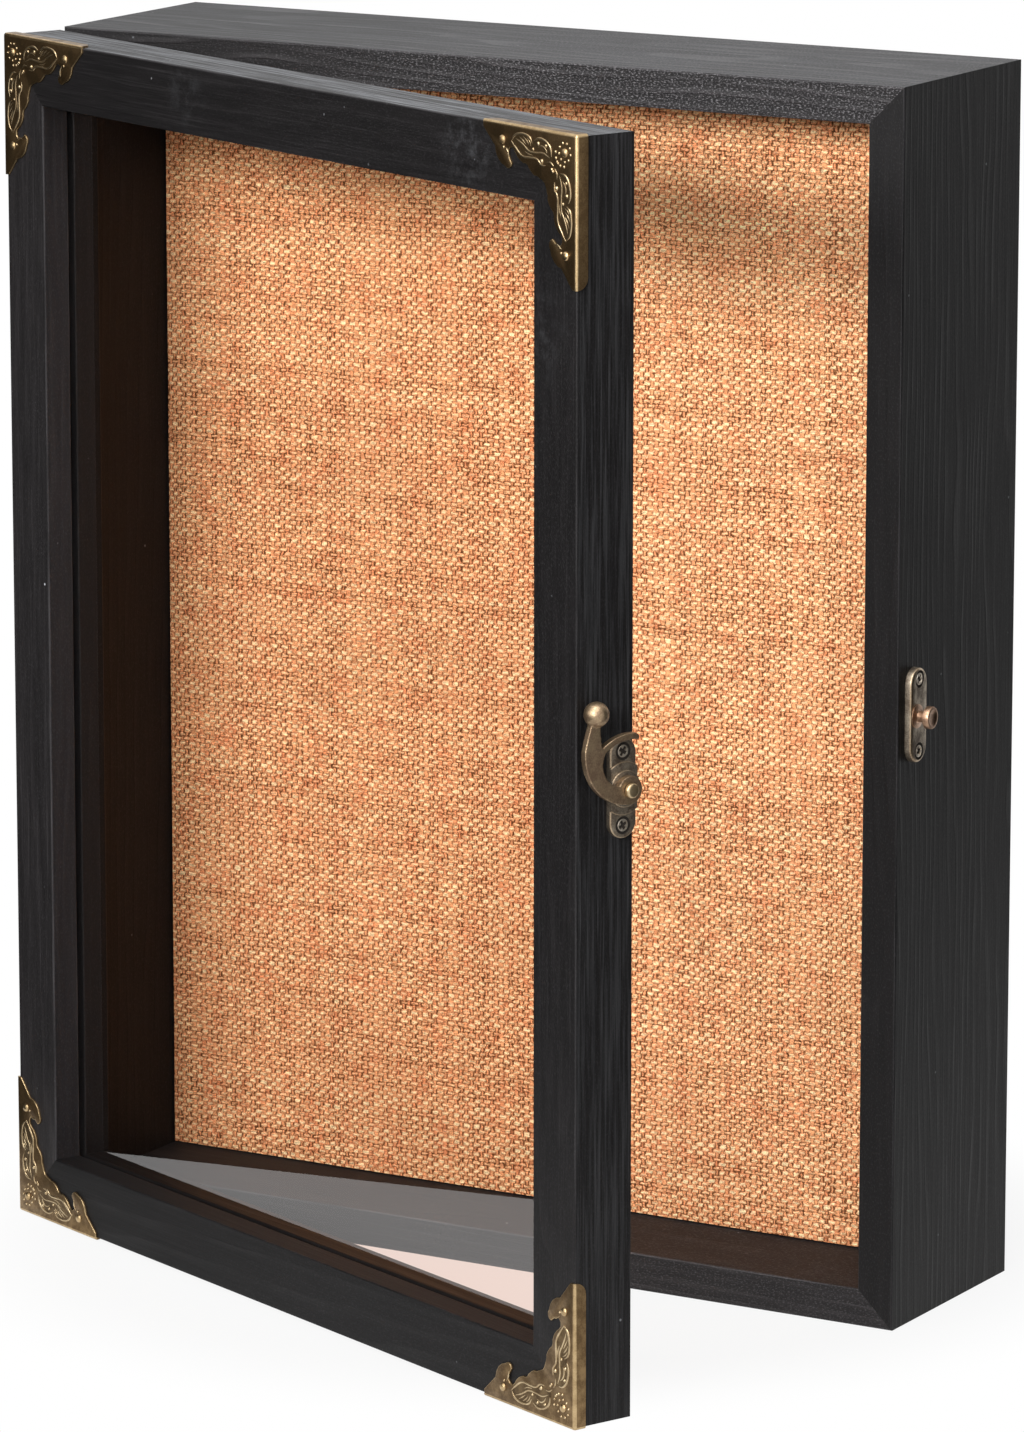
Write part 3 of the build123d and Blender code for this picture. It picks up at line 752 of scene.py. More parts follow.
# %% Glazing beads
for side in SIDES:
    letters = "XZY" if side in ("top", "bottom") else "ZXY"
    # The beads' tone makes them darker than the door's frame.
    look = {"letters": letters, "heart": (0.01, 0.03, 0.0), "tone_and_painted_light": 0.55}
    stained_member(f"bead_{side}", f"glass_bead_{side}", side, None, "door", 0.2, look)

# %% [markdown]
# ## Glass
#
# The pane keeps the CAD's own solid, because a flat pane is all it is. Glass this
# thin hardly moves what is behind it, so its finish is nearly clear and only mirrors.
# The share that it mirrors grows towards a glancing view, which the Fresnel node
# works out. Both faces mirror, so the share of the near face is nearly doubled and
# the far face is left clear. Light from the lamps then passes through to the cloth.

# %% Glass finish
glass_finish, place = new_finish("window_glass")
share = place.node("ShaderNodeFresnel", {}, {"IOR": 1.5})
far_face = place.node("ShaderNodeNewGeometry", {}, {}, output="Backfacing")
clear = place.node("ShaderNodeBsdfTransparent", {}, {"Color": (0.985, 0.965, 0.952)})
mirror = place.node("ShaderNodeBsdfGlossy", {}, {"Color": (1.0, 1.0, 1.0), "Roughness": 0.01})
cover(layered(share * 1.9 * (1 - far_face), clear, mirror))
dress(frame["nodes"]["door_glass"], glass_finish)
print("glass nodes:", len(glass_finish.node_tree.nodes))

# %% [markdown]
# ## The burlap lining
#
# Burlap is a plain weave of thick, uneven yarns: each weft yarn goes over one warp
# yarn and under the next. The cloth is stretched over the pin board, so its shape is
# a sheet with a soft edge, a little uneven, and the weave is in its finish. The
# finish counts the yarns from the place on the cloth, works out which yarn is on top
# at each crossing, rounds it, and gives every yarn its own shade and thick places.
# Slow noises push the count to and fro, so that the yarns wander as spun jute does.

# %% Burlap yarns
warp_pitch = 1.74 * MM
weft_pitch = 1.342 * MM
warp_share = 0.27
weft_share = 0.57
slant = 0.16
ragged_share = 0.7
fluff_share = 0.9


def swing(place, scale, detail=2.0):
    """A noise that swings about nought instead of a half."""
    return noise(place, scale, detail) - 0.5


def yarn(across, along, number, place, seed, share):
    """Profile, thick places and own shade of a set of yarns; across is from its middle."""
    pick = {"Vector": joined(number, seed, 0.0)}
    own = place.node("ShaderNodeTexWhiteNoise", {"noise_dimensions": "2D"}, pick)
    slub = noise(joined(along * 150.0, number * 3.7 + seed, 0.0), 1.0, 3.0)
    width = share * larger(slub * 2.1 - 0.05, 0.35) * (own * 0.6 + 0.70)
    offset = across.maths("DIVIDE", across, width)
    return larger(1 - offset * offset, 0.0), slub - 0.5, own - 0.5


burlap, place = new_finish("burlap")
x, y, z = axes(place)
wander = swing(stretched(place, (18.0, 1.0, 40.0)), 1.0)
drift = swing(stretched(place, (60.0, 1.0, 12.0)), 1.0)
jog = swing(place, 330.0)
tug = swing(place, 1000.0, 1.0)
u = x * (1 / warp_pitch) + (drift * 1.7 + jog * 0.8 + tug * 0.4)
v = z * (1 / weft_pitch) + (wander * 2.0 - jog * 0.8 - tug * 0.4)
column = u.maths("FLOOR", u)
row = v.maths("FLOOR", v)
past_column = u - column
past_row = v - row
warp, warp_slub, warp_own = yarn(past_column - 0.44, z, column, place, 3.0, warp_share)
weft, weft_slub, weft_own = yarn(past_row - 0.5, x, row, place, 9.0, weft_share)

# %% [markdown]
# A yarn's height is its round profile times its lift, a sine that is up at one
# crossing and down at the next. The lift leans a little with the place across the
# yarn, because the fibres are twisted. Ragged edges and loose fluff roughen it. The
# higher of the two yarns shows, and where neither is high the colour is painted
# dark, as shade in the hollow between yarns.

# %% Burlap height
weft_lift = x.maths("SINE", (u + row - (past_row - 0.5) * slant) * math.pi)
warp_lift = x.maths("SINE", (column + v - (past_column - 0.5) * slant) * math.pi) * -1
ragged = swing(place, 900.0) * ragged_share
fluff = swing(stretched(place, (1.3, 1.0, 1.0)), 2300.0) * fluff_share
weft_up = step(weft_lift, -0.66, 0.32) * 0.78 + 0.09
warp_up = step(warp_lift, -0.6, 0.6) * 0.62 + 0.20
weft_height = weft ** 0.4 * weft_up + ragged + fluff
warp_height = warp ** 0.35 * warp_up - ragged + fluff
height = larger(weft_height, warp_height)
on_top = step(weft_height - warp_height, -0.06, 0.06)
# Mask of painted shade: 0 in the hollows between yarns, 1 on the yarns.
clear_of_painted_shade = step(height, 0.08, 0.56)

# %% [markdown]
# The weft is straw-coloured and the warp is a redder brown. The weft's crests are
# painted paler, as highlight, and the warp is painted darker towards its edges, as
# shade. Streaks and specks are single fibres, ruddy clouds are dye that took unevenly,
# and broad bands come from bundles of yarn that were spun at different times.

# %% Burlap colour
# The first colour is painted shade for the hollows between yarns.
painted_hollow_shade = (0.170, 0.060, 0.020)
warp_shade = (0.820, 0.315, 0.142)
middle_shade = (0.880, 0.405, 0.185)
weft_shade = (1.000, 0.770, 0.450)
red_share = (0.94, 0.78, 0.75)
streak = swing(stretched(place, (0.35, 1.0, 1.5)), 1900.0)
speck = swing(place, 4200.0)
# Painted highlight on the weft's crests; below, the warp is painted darker towards its edges, as
# shade.
crest_highlight = step(weft, 0.70, 1.0) * step(weft_lift, -0.3, 0.5)
weft_tone_and_highlight = crest_highlight * (weft_own * 0.5 + 0.85) * (weft_slub * 1.6 + 1.0) + streak * 1.3 + speck
warp_tone_and_shade = warp * (warp_lift * 0.3 + 0.55) + warp_own * 0.4 + warp_slub + speck * 2.0
weft_colour = blend(weft_tone_and_highlight, middle_shade, weft_shade)
warp_colour = blend(warp_tone_and_shade, warp_shade, middle_shade)
top_colour = blend(on_top, warp_colour, weft_colour)
ruddy = step(noise(place, 110.0) * 0.5 + noise(place, 330.0) * 0.5, 0.48, 0.62)
top_colour = blend(ruddy, top_colour, stretched(top_colour, red_share))
bands = noise(stretched(place, (7.0, 1.0, 55.0)), 1.0, 3.0) * 0.5 + noise(place, 16.0) * 0.4
light_share = (streak * 1.9 + speck * 2.2 + 1.0) * (bands * 0.4 + 0.84)
cloth_values = {
    "Base Color": tinted(blend(clear_of_painted_shade, painted_hollow_shade, top_colour), light_share),
    "Roughness": 0.92,
    "Normal": raised(height, 0.45 * MM, 0.7),
    "Specular IOR Level": 0.15,
}
coat(place, cloth_values)
print("burlap nodes:", len(burlap.node_tree.nodes))

# %% [markdown]
# The sheet itself is a fine grid, set upright and pushed about: long shallow
# waves where the tension varies, and a roll at the edge, where the cloth turns behind
# the board. Then its back is drawn out to the board and flattened.

# %% The cloth
cloth_size = cloth_high - cloth_low
slack = 0.22 * MM
edge_roll = 1.6 * MM
roll_depth = 0.45 * MM
cloth_front = (0, cloth_low.y, (cloth_low.z + cloth_high.z) / 2)
clear_selection()
bpy.ops.mesh.primitive_grid_add(
    x_subdivisions=96, y_subdivisions=126, size=1, location=cloth_front
)
upright = (math.pi / 2, 0, 0)
cloth = fresh("burlap_cloth", scale=(cloth_size.x, cloth_size.z, 1), turn=upright)


def cloth_wave(across, up):
    """From -1 to 1, in waves about as long as a hand is wide."""
    return math.sin(across * 61.0 + 2.0 * math.sin(up * 23.0)) * math.sin(up * 47.0)


for vertex in cloth.data.vertices:
    across = vertex.co.x
    up = vertex.co.z
    to_side = min(across - cloth_low.x, cloth_high.x - across)
    to_edge = min(to_side, up - cloth_low.z, cloth_high.z - up)
    roll = max(0.0, 1 - to_edge / edge_roll)
    vertex.co.y += slack * (0.5 + 0.5 * cloth_wave(across, up)) + roll_depth * roll * roll
choose_all(cloth)
bpy.ops.mesh.extrude_region_move()
bpy.ops.transform.resize(value=(1, 0, 1), center_override=(0, cloth_high.y, 0))
face_out()
done()
soften(40)
dress(cloth, burlap)
stand_for(cloth, "burlap_lining", "case")
print("cloth", [round(v / MM, 1) for v in cloth_size])

# %% [markdown]
# ## The pin board behind the cloth
#
# A slab of stiff closed-cell foam takes the pins. It is hidden once the case is shut
# up, but it is still made as itself: a slab cut with a hot wire, which leaves soft
# edges and a fine skin of cells.

# %% Foam slab
foam, place = new_finish("pin_foam")
wall = step(cells(place, 900.0), 0.25, 0.6)
foam_shade = wall * 0.6 + noise(place, 25.0) * 0.4
foam_values = {
    "Base Color": blend(foam_shade, (0.80, 0.79, 0.74), (0.60, 0.58, 0.52)),
    "Roughness": 0.85,
    "Normal": raised(wall, 0.15 * MM, 0.6),
}
coat(place, foam_values)
foam_slab = block("foam_slab", *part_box("pin_board"))
apply_modifier(foam_slab, "BEVEL", width=1.2 * MM, segments=3)
dress(foam_slab, foam)
stand_for(foam_slab, "pin_board", "case")

# %% [markdown]
# ## Antique brass
#
# The fittings are thin brass, browned in a bath and then rubbed, so that the metal
# shines on edges and raised lines and stays brown in the hollows. All their finishes
# come from one recipe, which mixes a pale tone and a brown one in soft patches:
# browned for faces, rubbed for folds and rims, lined for the ornament's raised lines,
# sunk for the leaves beneath them, and others for the cast and turned pieces.


# %% Recipe for brass
def brass(name, pale, brown, roughness, pits=0.5):
    """Browned metal: two tones in soft patches, with fine pits."""
    material, place = new_finish(name)
    cloud = noise(place, 260, 3.0, 0.6)
    fine = noise(place, 2200, 2.0, 0.6)
    rub = step(cloud * 0.7 + fine * 0.3, 0.36, 0.66)
    values = {
        "Base Color": blend(rub, brown, pale),
        "Metallic": 1.0,
        "Roughness": (1 - rub) * 0.14 + (fine * 0.12 + roughness),
        "Normal": raised(fine * pits + cloud * (1 - pits), 0.06 * MM, 0.45),
    }
    coat(place, values)
    return material


browned = brass("browned_brass", (0.268, 0.178, 0.088), (0.136, 0.084, 0.040), 0.30)
rubbed = brass("rubbed_brass", (0.62, 0.455, 0.250), (0.39, 0.270, 0.140), 0.25, 0.3)
sunk = brass("sunk_brass", (0.205, 0.138, 0.068), (0.096, 0.061, 0.030), 0.34)
lined = brass("lined_brass", (0.70, 0.55, 0.34), (0.44, 0.32, 0.18), 0.25, 0.3)
cast = brass("cast_brass", (0.47, 0.345, 0.215), (0.225, 0.150, 0.098), 0.34)
plate_brass = brass("dark_brass", (0.46, 0.39, 0.30), (0.150, 0.115, 0.085), 0.36)
rubbed_edge = brass("rubbed_edge", (0.53, 0.415, 0.285), (0.28, 0.205, 0.135), 0.28, 0.3)
copper = brass("copper_brass", (0.50, 0.325, 0.215), (0.26, 0.155, 0.10), 0.28)
steel = brass("dull_steel", (0.46, 0.45, 0.43), (0.30, 0.29, 0.28), 0.34)
screw_metal = brass("screw_metal", (0.78, 0.71, 0.61), (0.44, 0.375, 0.30), 0.36)

# Painted shade: a near-black finish for recesses, the screws' crosses, the dishes and the rivet's
# seat.
grime, place = new_finish("grime")
painted_recess_shade_values = {
    "Base Color": blend(noise(place, 900), (0.012, 0.010, 0.009), (0.05, 0.038, 0.028)),
    "Roughness": 0.8,
    "Metallic": 0.3,
}
coat(place, painted_recess_shade_values)
metals = (browned, rubbed, sunk, lined, cast, plate_brass, rubbed_edge, copper, steel, screw_metal)
print("metals:", [metal.name for metal in metals])

# %% [markdown]
# ## Screws
#
# One cross-head screw is turned and then copied to every place. Its head is a disc
# with a rounded rim, its recess is two crossed bars pressed in, and a short cone
# goes down into the plate. The places are read from the CAD's own screws: their
# points fall into one group for each screw, and a group's box gives its middle and
# its top.

# %% One screw
FACING = {
    "right": Matrix(((0, 0, 1), (1, 0, 0), (0, 1, 0))).to_4x4(),
    "left": Matrix(((0, 0, -1), (-1, 0, 0), (0, 1, 0))).to_4x4(),
    "front": Matrix(((1, 0, 0), (0, 0, -1), (0, 1, 0))).to_4x4(),
    "back": Matrix(((-1, 0, 0), (0, 0, 1), (0, 1, 0))).to_4x4(),
}
OUTWARD = {"right": (0, 1), "left": (0, -1), "front": (1, -1), "back": (1, 1)}
head_radius = 1.9 * MM
head_depth = 0.9 * MM
head_crown = 0.15 * MM
head_rim = 0.35 * MM
shank_radius = 0.9 * MM
cross_depth = 0.60 * MM


def disc(name, radius, low, high, sides=32):
    """A short cylinder on the Z axis."""
    clear_selection()
    where = (0, 0, (low + high) / 2)
    bpy.ops.mesh.primitive_cylinder_add(
        vertices=sides, radius=radius, depth=high - low, location=where
    )
    return fresh(name)


def shrink(share):
    """In edit mode, draws what is chosen together, towards the Z axis."""
    bpy.ops.transform.resize(value=(share, share, 1))


def pull(x=0.0, y=0.0, z=0.0):
    """In edit mode, draws what is chosen out, with new sides behind it."""
    bpy.ops.mesh.extrude_region_move(TRANSFORM_OT_translate={"value": (x, y, z)})


def turned_screw(length, metal):
    """A cross-head screw with its head's rim at Z 0 and painted shade in its cross."""
    screw = disc("screw", head_radius, -head_depth, head_crown)
    choose(screw, "FACE", looks_down)
    shrink(shank_radius / head_radius)
    pull(z=head_depth - length)
    shrink(0.3)
    done()
    choose(screw, "FACE", looks_up)
    bpy.ops.mesh.bevel(offset=head_rim, segments=3, affect="EDGES")
    done()
    dress(screw, metal)
    bar = Vector((head_radius * 0.82, head_radius * 0.30, cross_depth))
    for size in (bar, Vector((bar.y, bar.x, bar.z))):
        cutter = block("cross", -size, size)
        # The cross is painted dark, as shade.
        dress(cutter, grime)
        choose(cutter, "FACE", looks_down)
        shrink(0.8)
        done()
        carve(screw, cutter)
    return screw


# %% [markdown]
# A point joins the first group that starts less than a head's width from it,
# measured across the screws' axis. The copies are turned to face outward and joined
# into one piece, because the CAD has one node for each set of screws.

# %% Where a group of small parts goes
one_head = 5 * MM


def spots(node, facing, on_door):
    """Where each screw, pin or rivet of a CAD group stands: its axis and its top."""
    axis, sign = OUTWARD[facing]
    turn = SHUT if on_door else Matrix()
    groups = []
    for vertex in frame["nodes"][node].data.vertices:
        point = turn @ vertex.co
        flat = point.copy()
        flat[axis] = 0
        near = next((group for group in groups if (group[0] - flat).length < one_head), None)
        if near is None:
            near = (flat, [])
            groups.append(near)
        near[1].append(point)
    places = []
    for group in groups:
        points = group[1]
        middle = Vector(
            (min(p[i] for p in points) + max(p[i] for p in points)) / 2 for i in range(3)
        )
        middle[axis] = sign * max(sign * p[axis] for p in points)
        places.append(middle)
    return places


def weld(pieces, name):
    """Joins pieces into one."""
    clear_selection()
    for piece in pieces:
        piece.select_set(True)
    bpy.context.view_layer.objects.active = pieces[0]
    bpy.ops.object.join()
    bpy.context.object.name = name
    return bpy.context.object


def fit(name, pattern, node, facing, body, spin=0.0, sink=0.0):
    """Copies a pattern to every spot of a CAD group, and joins the copies into one."""
    on_door = body != "case"
    axis, sign = OUTWARD[facing]
    copies = []
    for i, spot in enumerate(spots(node, facing, on_door)):
        copy = pattern.copy()
        copy.data = pattern.data.copy()
        bpy.context.scene.collection.objects.link(copy)
        spot[axis] -= sign * sink
        turn = Matrix.Rotation(spin * (i + 1), 4, "Z")
        copy.matrix_world = Matrix.Translation(spot) @ FACING[facing] @ turn
        copies.append(copy)
    print(name, len(copies), "copies")
    piece = weld(copies, name)
    settle(piece)
    if on_door:
        hang(piece)
    soften(35)
    stand_for(piece, node, body)
    bpy.data.objects.remove(pattern)


# %% [markdown]
# A screw driven by hand stops at any angle, so each copy is turned a little further
# than the last. The heads sit a touch below the CAD's, in their dishes.

# %% Fit the screws
screw_length = 8.5 * MM
panel_screw_length = 14 * MM
for name, node, facing, body, length, metal, slot in (
    ("latch", "latch_screws", "right", "door", screw_length, screw_metal, "antique_brass"),
    ("catch", "catch_screws", "right", "case", screw_length, screw_metal, "antique_brass"),
    ("hinge_case", "hinge_case_screws", "left", "case", screw_length, browned, "antique_brass"),
    ("hinge_door", "hinge_door_screws", "left", "door", screw_length, browned, "antique_brass"),
    ("panel", "back_panel_screws", "back", "case", panel_screw_length, steel, "zinc_steel"),
):
    screw = turned_screw(length, metal)
    fit(f"{name}_screw_heads", screw, node, facing, body, spin=0.5, sink=0.15 * MM)

# %% [markdown]
# ## Pins and rivets
#
# The protectors are nailed on with round-headed pins, and the hangers are riveted to
# the back. Of either only a low dome shows: a ball flattened, and cut off below.


# %% Domed pins and rivets
def domed(name, radius, height, finish):
    """A round head: the top half of a flattened ball, its top at Z 0."""
    clear_selection()
    bpy.ops.mesh.primitive_uv_sphere_add(segments=24, ring_count=20, radius=radius)
    made = fresh(name, scale=(1, 1, height / radius))
    saw(made, (0, 0, 0), (0, 0, -1))
    made.location = (0, 0, -height)
    settle(made)
    dress(made, finish)
    return made


pin = domed("pin", 1.25 * MM, 0.7 * MM, rubbed)
fit("corner_pin_heads", pin, "corner_pins", "front", "door")
rivet = domed("rivet", 1.8 * MM, 0.7 * MM, steel)
fit("hanger_rivet_heads", rivet, "hanger_rivets", "back", "case")

# %% [markdown]
# ## Corner protectors
#
# Each protector is stamped from thin sheet: a scalloped plate with an embossed
# leaf scroll, and two lips folded over the door's edges. It is modelled as the
# sheet is made. The outline is drawn with arcs and filled, the two straight edges
# are drawn back into lips, the folds are rounded, and the sheet gets its thickness
# last. Its rim and its folds are rubbed bright.

# %% Sizes of a protector
corner_low, corner_high = shut_box("corner_top_right")
sheet = 0.6 * MM
leg = corner_high.z - sheet - corner_low.z
lip = corner_high.y - corner_low.y
fold = 0.85 * MM
rim_width = 0.22 * MM
# The scalloped edge of one leg, in shares of the leg: along it and away from the
# door's edge. The first place is a point; each line after it is an arc's middle and end.
scallops = (
    (1.000, 0.034),
    ((0.955, 0.075), (0.872, 0.150)),
    ((0.845, 0.222), (0.762, 0.272)),
    ((0.706, 0.276), (0.690, 0.247)),
    ((0.708, 0.222), (0.728, 0.186)),
    ((0.694, 0.140), (0.655, 0.160)),
    ((0.612, 0.208), (0.560, 0.232)),
    ((0.537, 0.231), (0.515, 0.240)),
    ((0.482, 0.276), (0.440, 0.300)),
    ((0.415, 0.300), (0.390, 0.310)),
    ((0.360, 0.320), (0.335, 0.335)),
)
print("protector leg", round(leg / MM, 2), "lip", round(lip / MM, 2))


def arc(start, middle, end, steps):
    """Points along the circle through three points, without the first."""
    (ax, ay), (bx, by), (cx, cy) = start, middle, end
    d = 2 * (ax * (by - cy) + bx * (cy - ay) + cx * (ay - by))
    a2 = ax * ax + ay * ay
    b2 = bx * bx + by * by
    c2 = cx * cx + cy * cy
    ox = (a2 * (by - cy) + b2 * (cy - ay) + c2 * (ay - by)) / d
    oy = (a2 * (cx - bx) + b2 * (ax - cx) + c2 * (bx - ax)) / d
    radius = math.hypot(ax - ox, ay - oy)
    first = math.atan2(ay - oy, ax - ox)
    way = (math.atan2(by - oy, bx - ox) - first) % math.tau
    whole = (math.atan2(cy - oy, cx - ox) - first) % math.tau
    if way > whole:
        whole -= math.tau
    turns = [first + whole * i / steps for i in range(1, steps + 1)]
    return [(ox + radius * math.cos(t), oy + radius * math.sin(t)) for t in turns]


def drawn(name, points, closed=True):
    """A line through some points, as a mesh with no faces yet."""
    edges = [(i, i + 1) for i in range(len(points) - 1)]
    if closed:
        edges.append((len(points) - 1, 0))
    mesh = bpy.data.meshes.new(name)
    mesh.from_pydata(points, edges, [])
    made = bpy.data.objects.new(name, mesh)
    bpy.context.scene.collection.objects.link(made)
    return made


def fill(piece):
    """Goes into edit mode and closes a drawn outline with one face."""
    choose_all(piece, "EDGE")
    bpy.ops.mesh.edge_face_add()


# %% [markdown]
# The folds are found by their place: an edge is on a fold when both its ends lie on
# the sheet's top or on its right side. The lips' free ends are rounded before the
# folds are, because the bevel of a fold would otherwise run into them.

# %% Draw the outline and fold the sheet
half = [scallops[0]]
for middle, end in scallops[1:]:
    half += arc(half[-1], middle, end, 4)
past = -sheet / leg
outline = [(1.0, past)] + half + [(away, along) for along, away in reversed(half[:-1])]
outline += [(past, 1.0), (past, past)]
outer_x = door_high.x + sheet
outer_z = door_high.z + sheet
far_x = door_high.x - leg
far_z = door_high.z - leg
back_y = corner_low.y + lip


def corner_spot(along, away):
    """A place on the top right protector, from shares of its leg."""
    return Vector((door_high.x - leg * along, corner_low.y, door_high.z - leg * away))


def lies_at(ends, axis, value):
    """Whether all the ends of an edge have one value on an axis."""
    return sum(abs(end[axis] - value) for end in ends) < touching


def folded_sheet(name):
    """The protector's sheet with its lips, its folds rounded and its rim bright."""
    piece = drawn(name, [corner_spot(*spot) for spot in outline])
    dress(piece, browned, rubbed)
    fill(piece)
    done()

    def ends_of(edge):
        return [piece.data.vertices[i].co for i in edge.vertices]

    def on_fold(edge):
        ends = ends_of(edge)
        return lies_at(ends, 2, outer_z) or lies_at(ends, 0, outer_x)

    choose(piece, "EDGE", on_fold)
    pull(y=lip)
    done()

    def lip_end(vertex):
        place = [vertex.co]
        tip = lies_at(place, 0, far_x) or lies_at(place, 2, far_z)
        return tip and lies_at(place, 1, back_y)

    choose(piece, "VERT", lip_end)
    bpy.ops.mesh.bevel(offset=lip * 0.85, segments=6, affect="VERTICES")
    done()

    def folded(edge):
        ends = ends_of(edge)
        on_corner = lies_at(ends, 0, outer_x) and lies_at(ends, 2, outer_z)
        return (lies_at(ends, 1, corner_low.y) and on_fold(edge)) or on_corner

    choose(piece, "EDGE", folded)
    bpy.ops.mesh.bevel(offset=fold, segments=4, material=1)
    done()
    front = max(piece.data.polygons, key=lambda face: face.area)
    if front.normal.y > 0:
        choose_all(piece)
        bpy.ops.mesh.flip_normals()
        done()
    apply_modifier(piece, "SOLIDIFY", thickness=sheet, offset=-1, use_even_offset=True)

    def on_rim(edge):
        one, other = ends_of(edge)
        level = lies_at((one, other), 1, corner_low.y)
        inside = max(one.x, other.x) < outer_x - fold and max(one.z, other.z) < outer_z - fold
        return level and (inside or (one - other).length < lip)

    choose(piece, "EDGE", on_rim)
    bpy.ops.mesh.bevel(offset=rim_width, segments=2, material=1)
    done()
    return piece


# %% [markdown]
# The leaf scroll is drawn once on one leg and mirrored across the corner. Its lines
# are bent wires with tapered ends, half sunk in the sheet and flattened, which is
# the shape that a stamp leaves. A low dark leaf lies under them. Beads are small
# balls, flattened in the same way, and a ring of nine goes round the corner's pin.
# Places are shares of the leg, so the scroll grows with the protector.

# %% Places of the scroll
# Each line: its thickness in millimetres, then its places.
scroll_lines = (
    (0.34, (
        (0.683, 0.096), (0.655, 0.062), (0.600, 0.043), (0.545, 0.041), (0.490, 0.056),
        (0.461, 0.092),
    )),
    (0.34, (
        (0.440, 0.070), (0.395, 0.052), (0.345, 0.055), (0.295, 0.075), (0.262, 0.112),
        (0.256, 0.155),
    )),
    (0.28, (
        (0.640, 0.078), (0.590, 0.096), (0.545, 0.118), (0.500, 0.144), (0.422, 0.148),
        (0.338, 0.144), (0.272, 0.168),
    )),
    (0.32, (
        (0.690, 0.100), (0.640, 0.140), (0.566, 0.186), (0.480, 0.186), (0.408, 0.190),
        (0.365, 0.220), (0.318, 0.222),
    )),
    (0.24, ((0.600, 0.062), (0.560, 0.085), (0.530, 0.105))),
    (0.24, ((0.560, 0.056), (0.525, 0.078), (0.500, 0.104))),
    (0.24, ((0.520, 0.060), (0.492, 0.080), (0.474, 0.110))),
    (0.26, ((0.400, 0.110), (0.360, 0.098), (0.322, 0.112), (0.300, 0.140))),
    (0.24, ((0.540, 0.150), (0.500, 0.166), (0.455, 0.168))),
    (0.26, ((0.300, 0.196), (0.262, 0.196), (0.232, 0.216))),
    (0.22, ((0.745, 0.150), (0.722, 0.190), (0.724, 0.226))),
)
# Each bead: its radius in millimetres, then its place.
scroll_beads = (
    (0.55, 0.394, 0.086), (0.50, 0.312, 0.092), (0.62, 0.355, 0.196),
    (0.45, 0.450, 0.128), (0.42, 0.208, 0.118), (0.42, 0.204, 0.158),
    (0.42, 0.182, 0.192), (0.45, 0.238, 0.250), (0.40, 0.772, 0.148),
)
scroll_leaf = (
    (0.683, 0.098), (0.655, 0.064), (0.600, 0.046), (0.545, 0.044), (0.490, 0.058),
    (0.452, 0.078), (0.440, 0.072), (0.395, 0.054), (0.345, 0.057), (0.295, 0.077),
    (0.262, 0.112), (0.254, 0.155), (0.250, 0.185), (0.300, 0.205), (0.365, 0.218),
    (0.408, 0.188), (0.480, 0.184), (0.566, 0.184), (0.640, 0.138),
)
print("scroll:", len(scroll_lines), "lines and", len(scroll_beads), "beads on each leg")

# %% [markdown]
# A wire is a curve with a round section, made a mesh as soon as its place is known.
# Everything raised is welded to one piece before it is flattened, so that the whole
# scroll has one height, as it has under a stamp.

# %% Shape the scroll
leaf_height = 0.06 * MM
flat = 0.80
ring_beads = 9
ring_bead = 0.38
ring_middle = (0.110, 0.113)
ring_reach = 0.062


def bent_wire(thickness, places):
    """A wire through some places, tapered to its ends, as a mesh."""
    curve = bpy.data.curves.new("scroll", "CURVE")
    curve.dimensions = "3D"
    curve.resolution_u = 6
    curve.bevel_depth = thickness
    curve.bevel_resolution = 2
    curve.use_fill_caps = True
    line = curve.splines.new("BEZIER")
    line.bezier_points.add(len(places) - 1)
    for i, (point, place) in enumerate(zip(line.bezier_points, places)):
        point.co = place
        point.handle_left_type = point.handle_right_type = "AUTO"
        point.radius = 0.35 if i in (0, len(places) - 1) else 1.0
    wire = bpy.data.objects.new("scroll", curve)
    bpy.context.scene.collection.objects.link(wire)
    only(wire)
    bpy.ops.object.convert(target="MESH")
    return bpy.context.object


def ball(name, radius, place, segments=12, rings=8):
    """A round ball, coarse enough for a bead unless more is asked."""
    clear_selection()
    bpy.ops.mesh.primitive_uv_sphere_add(
        segments=segments, ring_count=rings, radius=radius, location=place
    )
    return fresh(name)


def leaf_body(points):
    """The low dark body of a leaf, under its bright lines."""
    leaf = drawn("leaf", points)
    fill(leaf)
    pull(y=-leaf_height)
    face_out()
    bpy.ops.mesh.quads_convert_to_tris(ngon_method="CLIP")
    done()
    return leaf


def on_leg(places, mirrored):
    """Places of the scroll on the upper leg, or mirrored on the right one."""
    return [corner_spot(v, u) if mirrored else corner_spot(u, v) for u, v in places]


def scroll():
    """The raised scroll of both legs, flattened towards the sheet's face."""
    pieces = []
    for mirrored in (False, True):
        leaf = leaf_body(on_leg(scroll_leaf, mirrored))
        dress(leaf, sunk)
        pieces.append(leaf)
        for thickness, places in scroll_lines:
            pieces.append(bent_wire(thickness * MM, on_leg(places, mirrored)))
        for radius, u, v in scroll_beads:
            pieces.append(ball("bead", radius * MM, on_leg([(u, v)], mirrored)[0]))
    for i in range(ring_beads):
        turn = math.radians(360 / ring_beads * i + 10)
        u = ring_middle[0] + ring_reach * math.cos(turn)
        v = ring_middle[1] + ring_reach * math.sin(turn)
        pieces.append(ball("bead", ring_bead * MM, corner_spot(u, v)))
    for piece in pieces:
        if not piece.name.startswith("leaf"):
            dress(piece, lined)
    whole = weld(pieces, "scroll")
    choose_all(whole)
    bpy.ops.transform.resize(value=(1, flat, 1), center_override=(0, corner_low.y, 0))
    done()
    return whole


# %% [markdown]
# All four protectors are struck in one die, so the left ones and the lower ones are
# the same piece mirrored. A mirrored mesh is inside out, so its faces are flipped.

# %% The four protectors
door_middle_z = (door_low.z + door_high.z) / 2


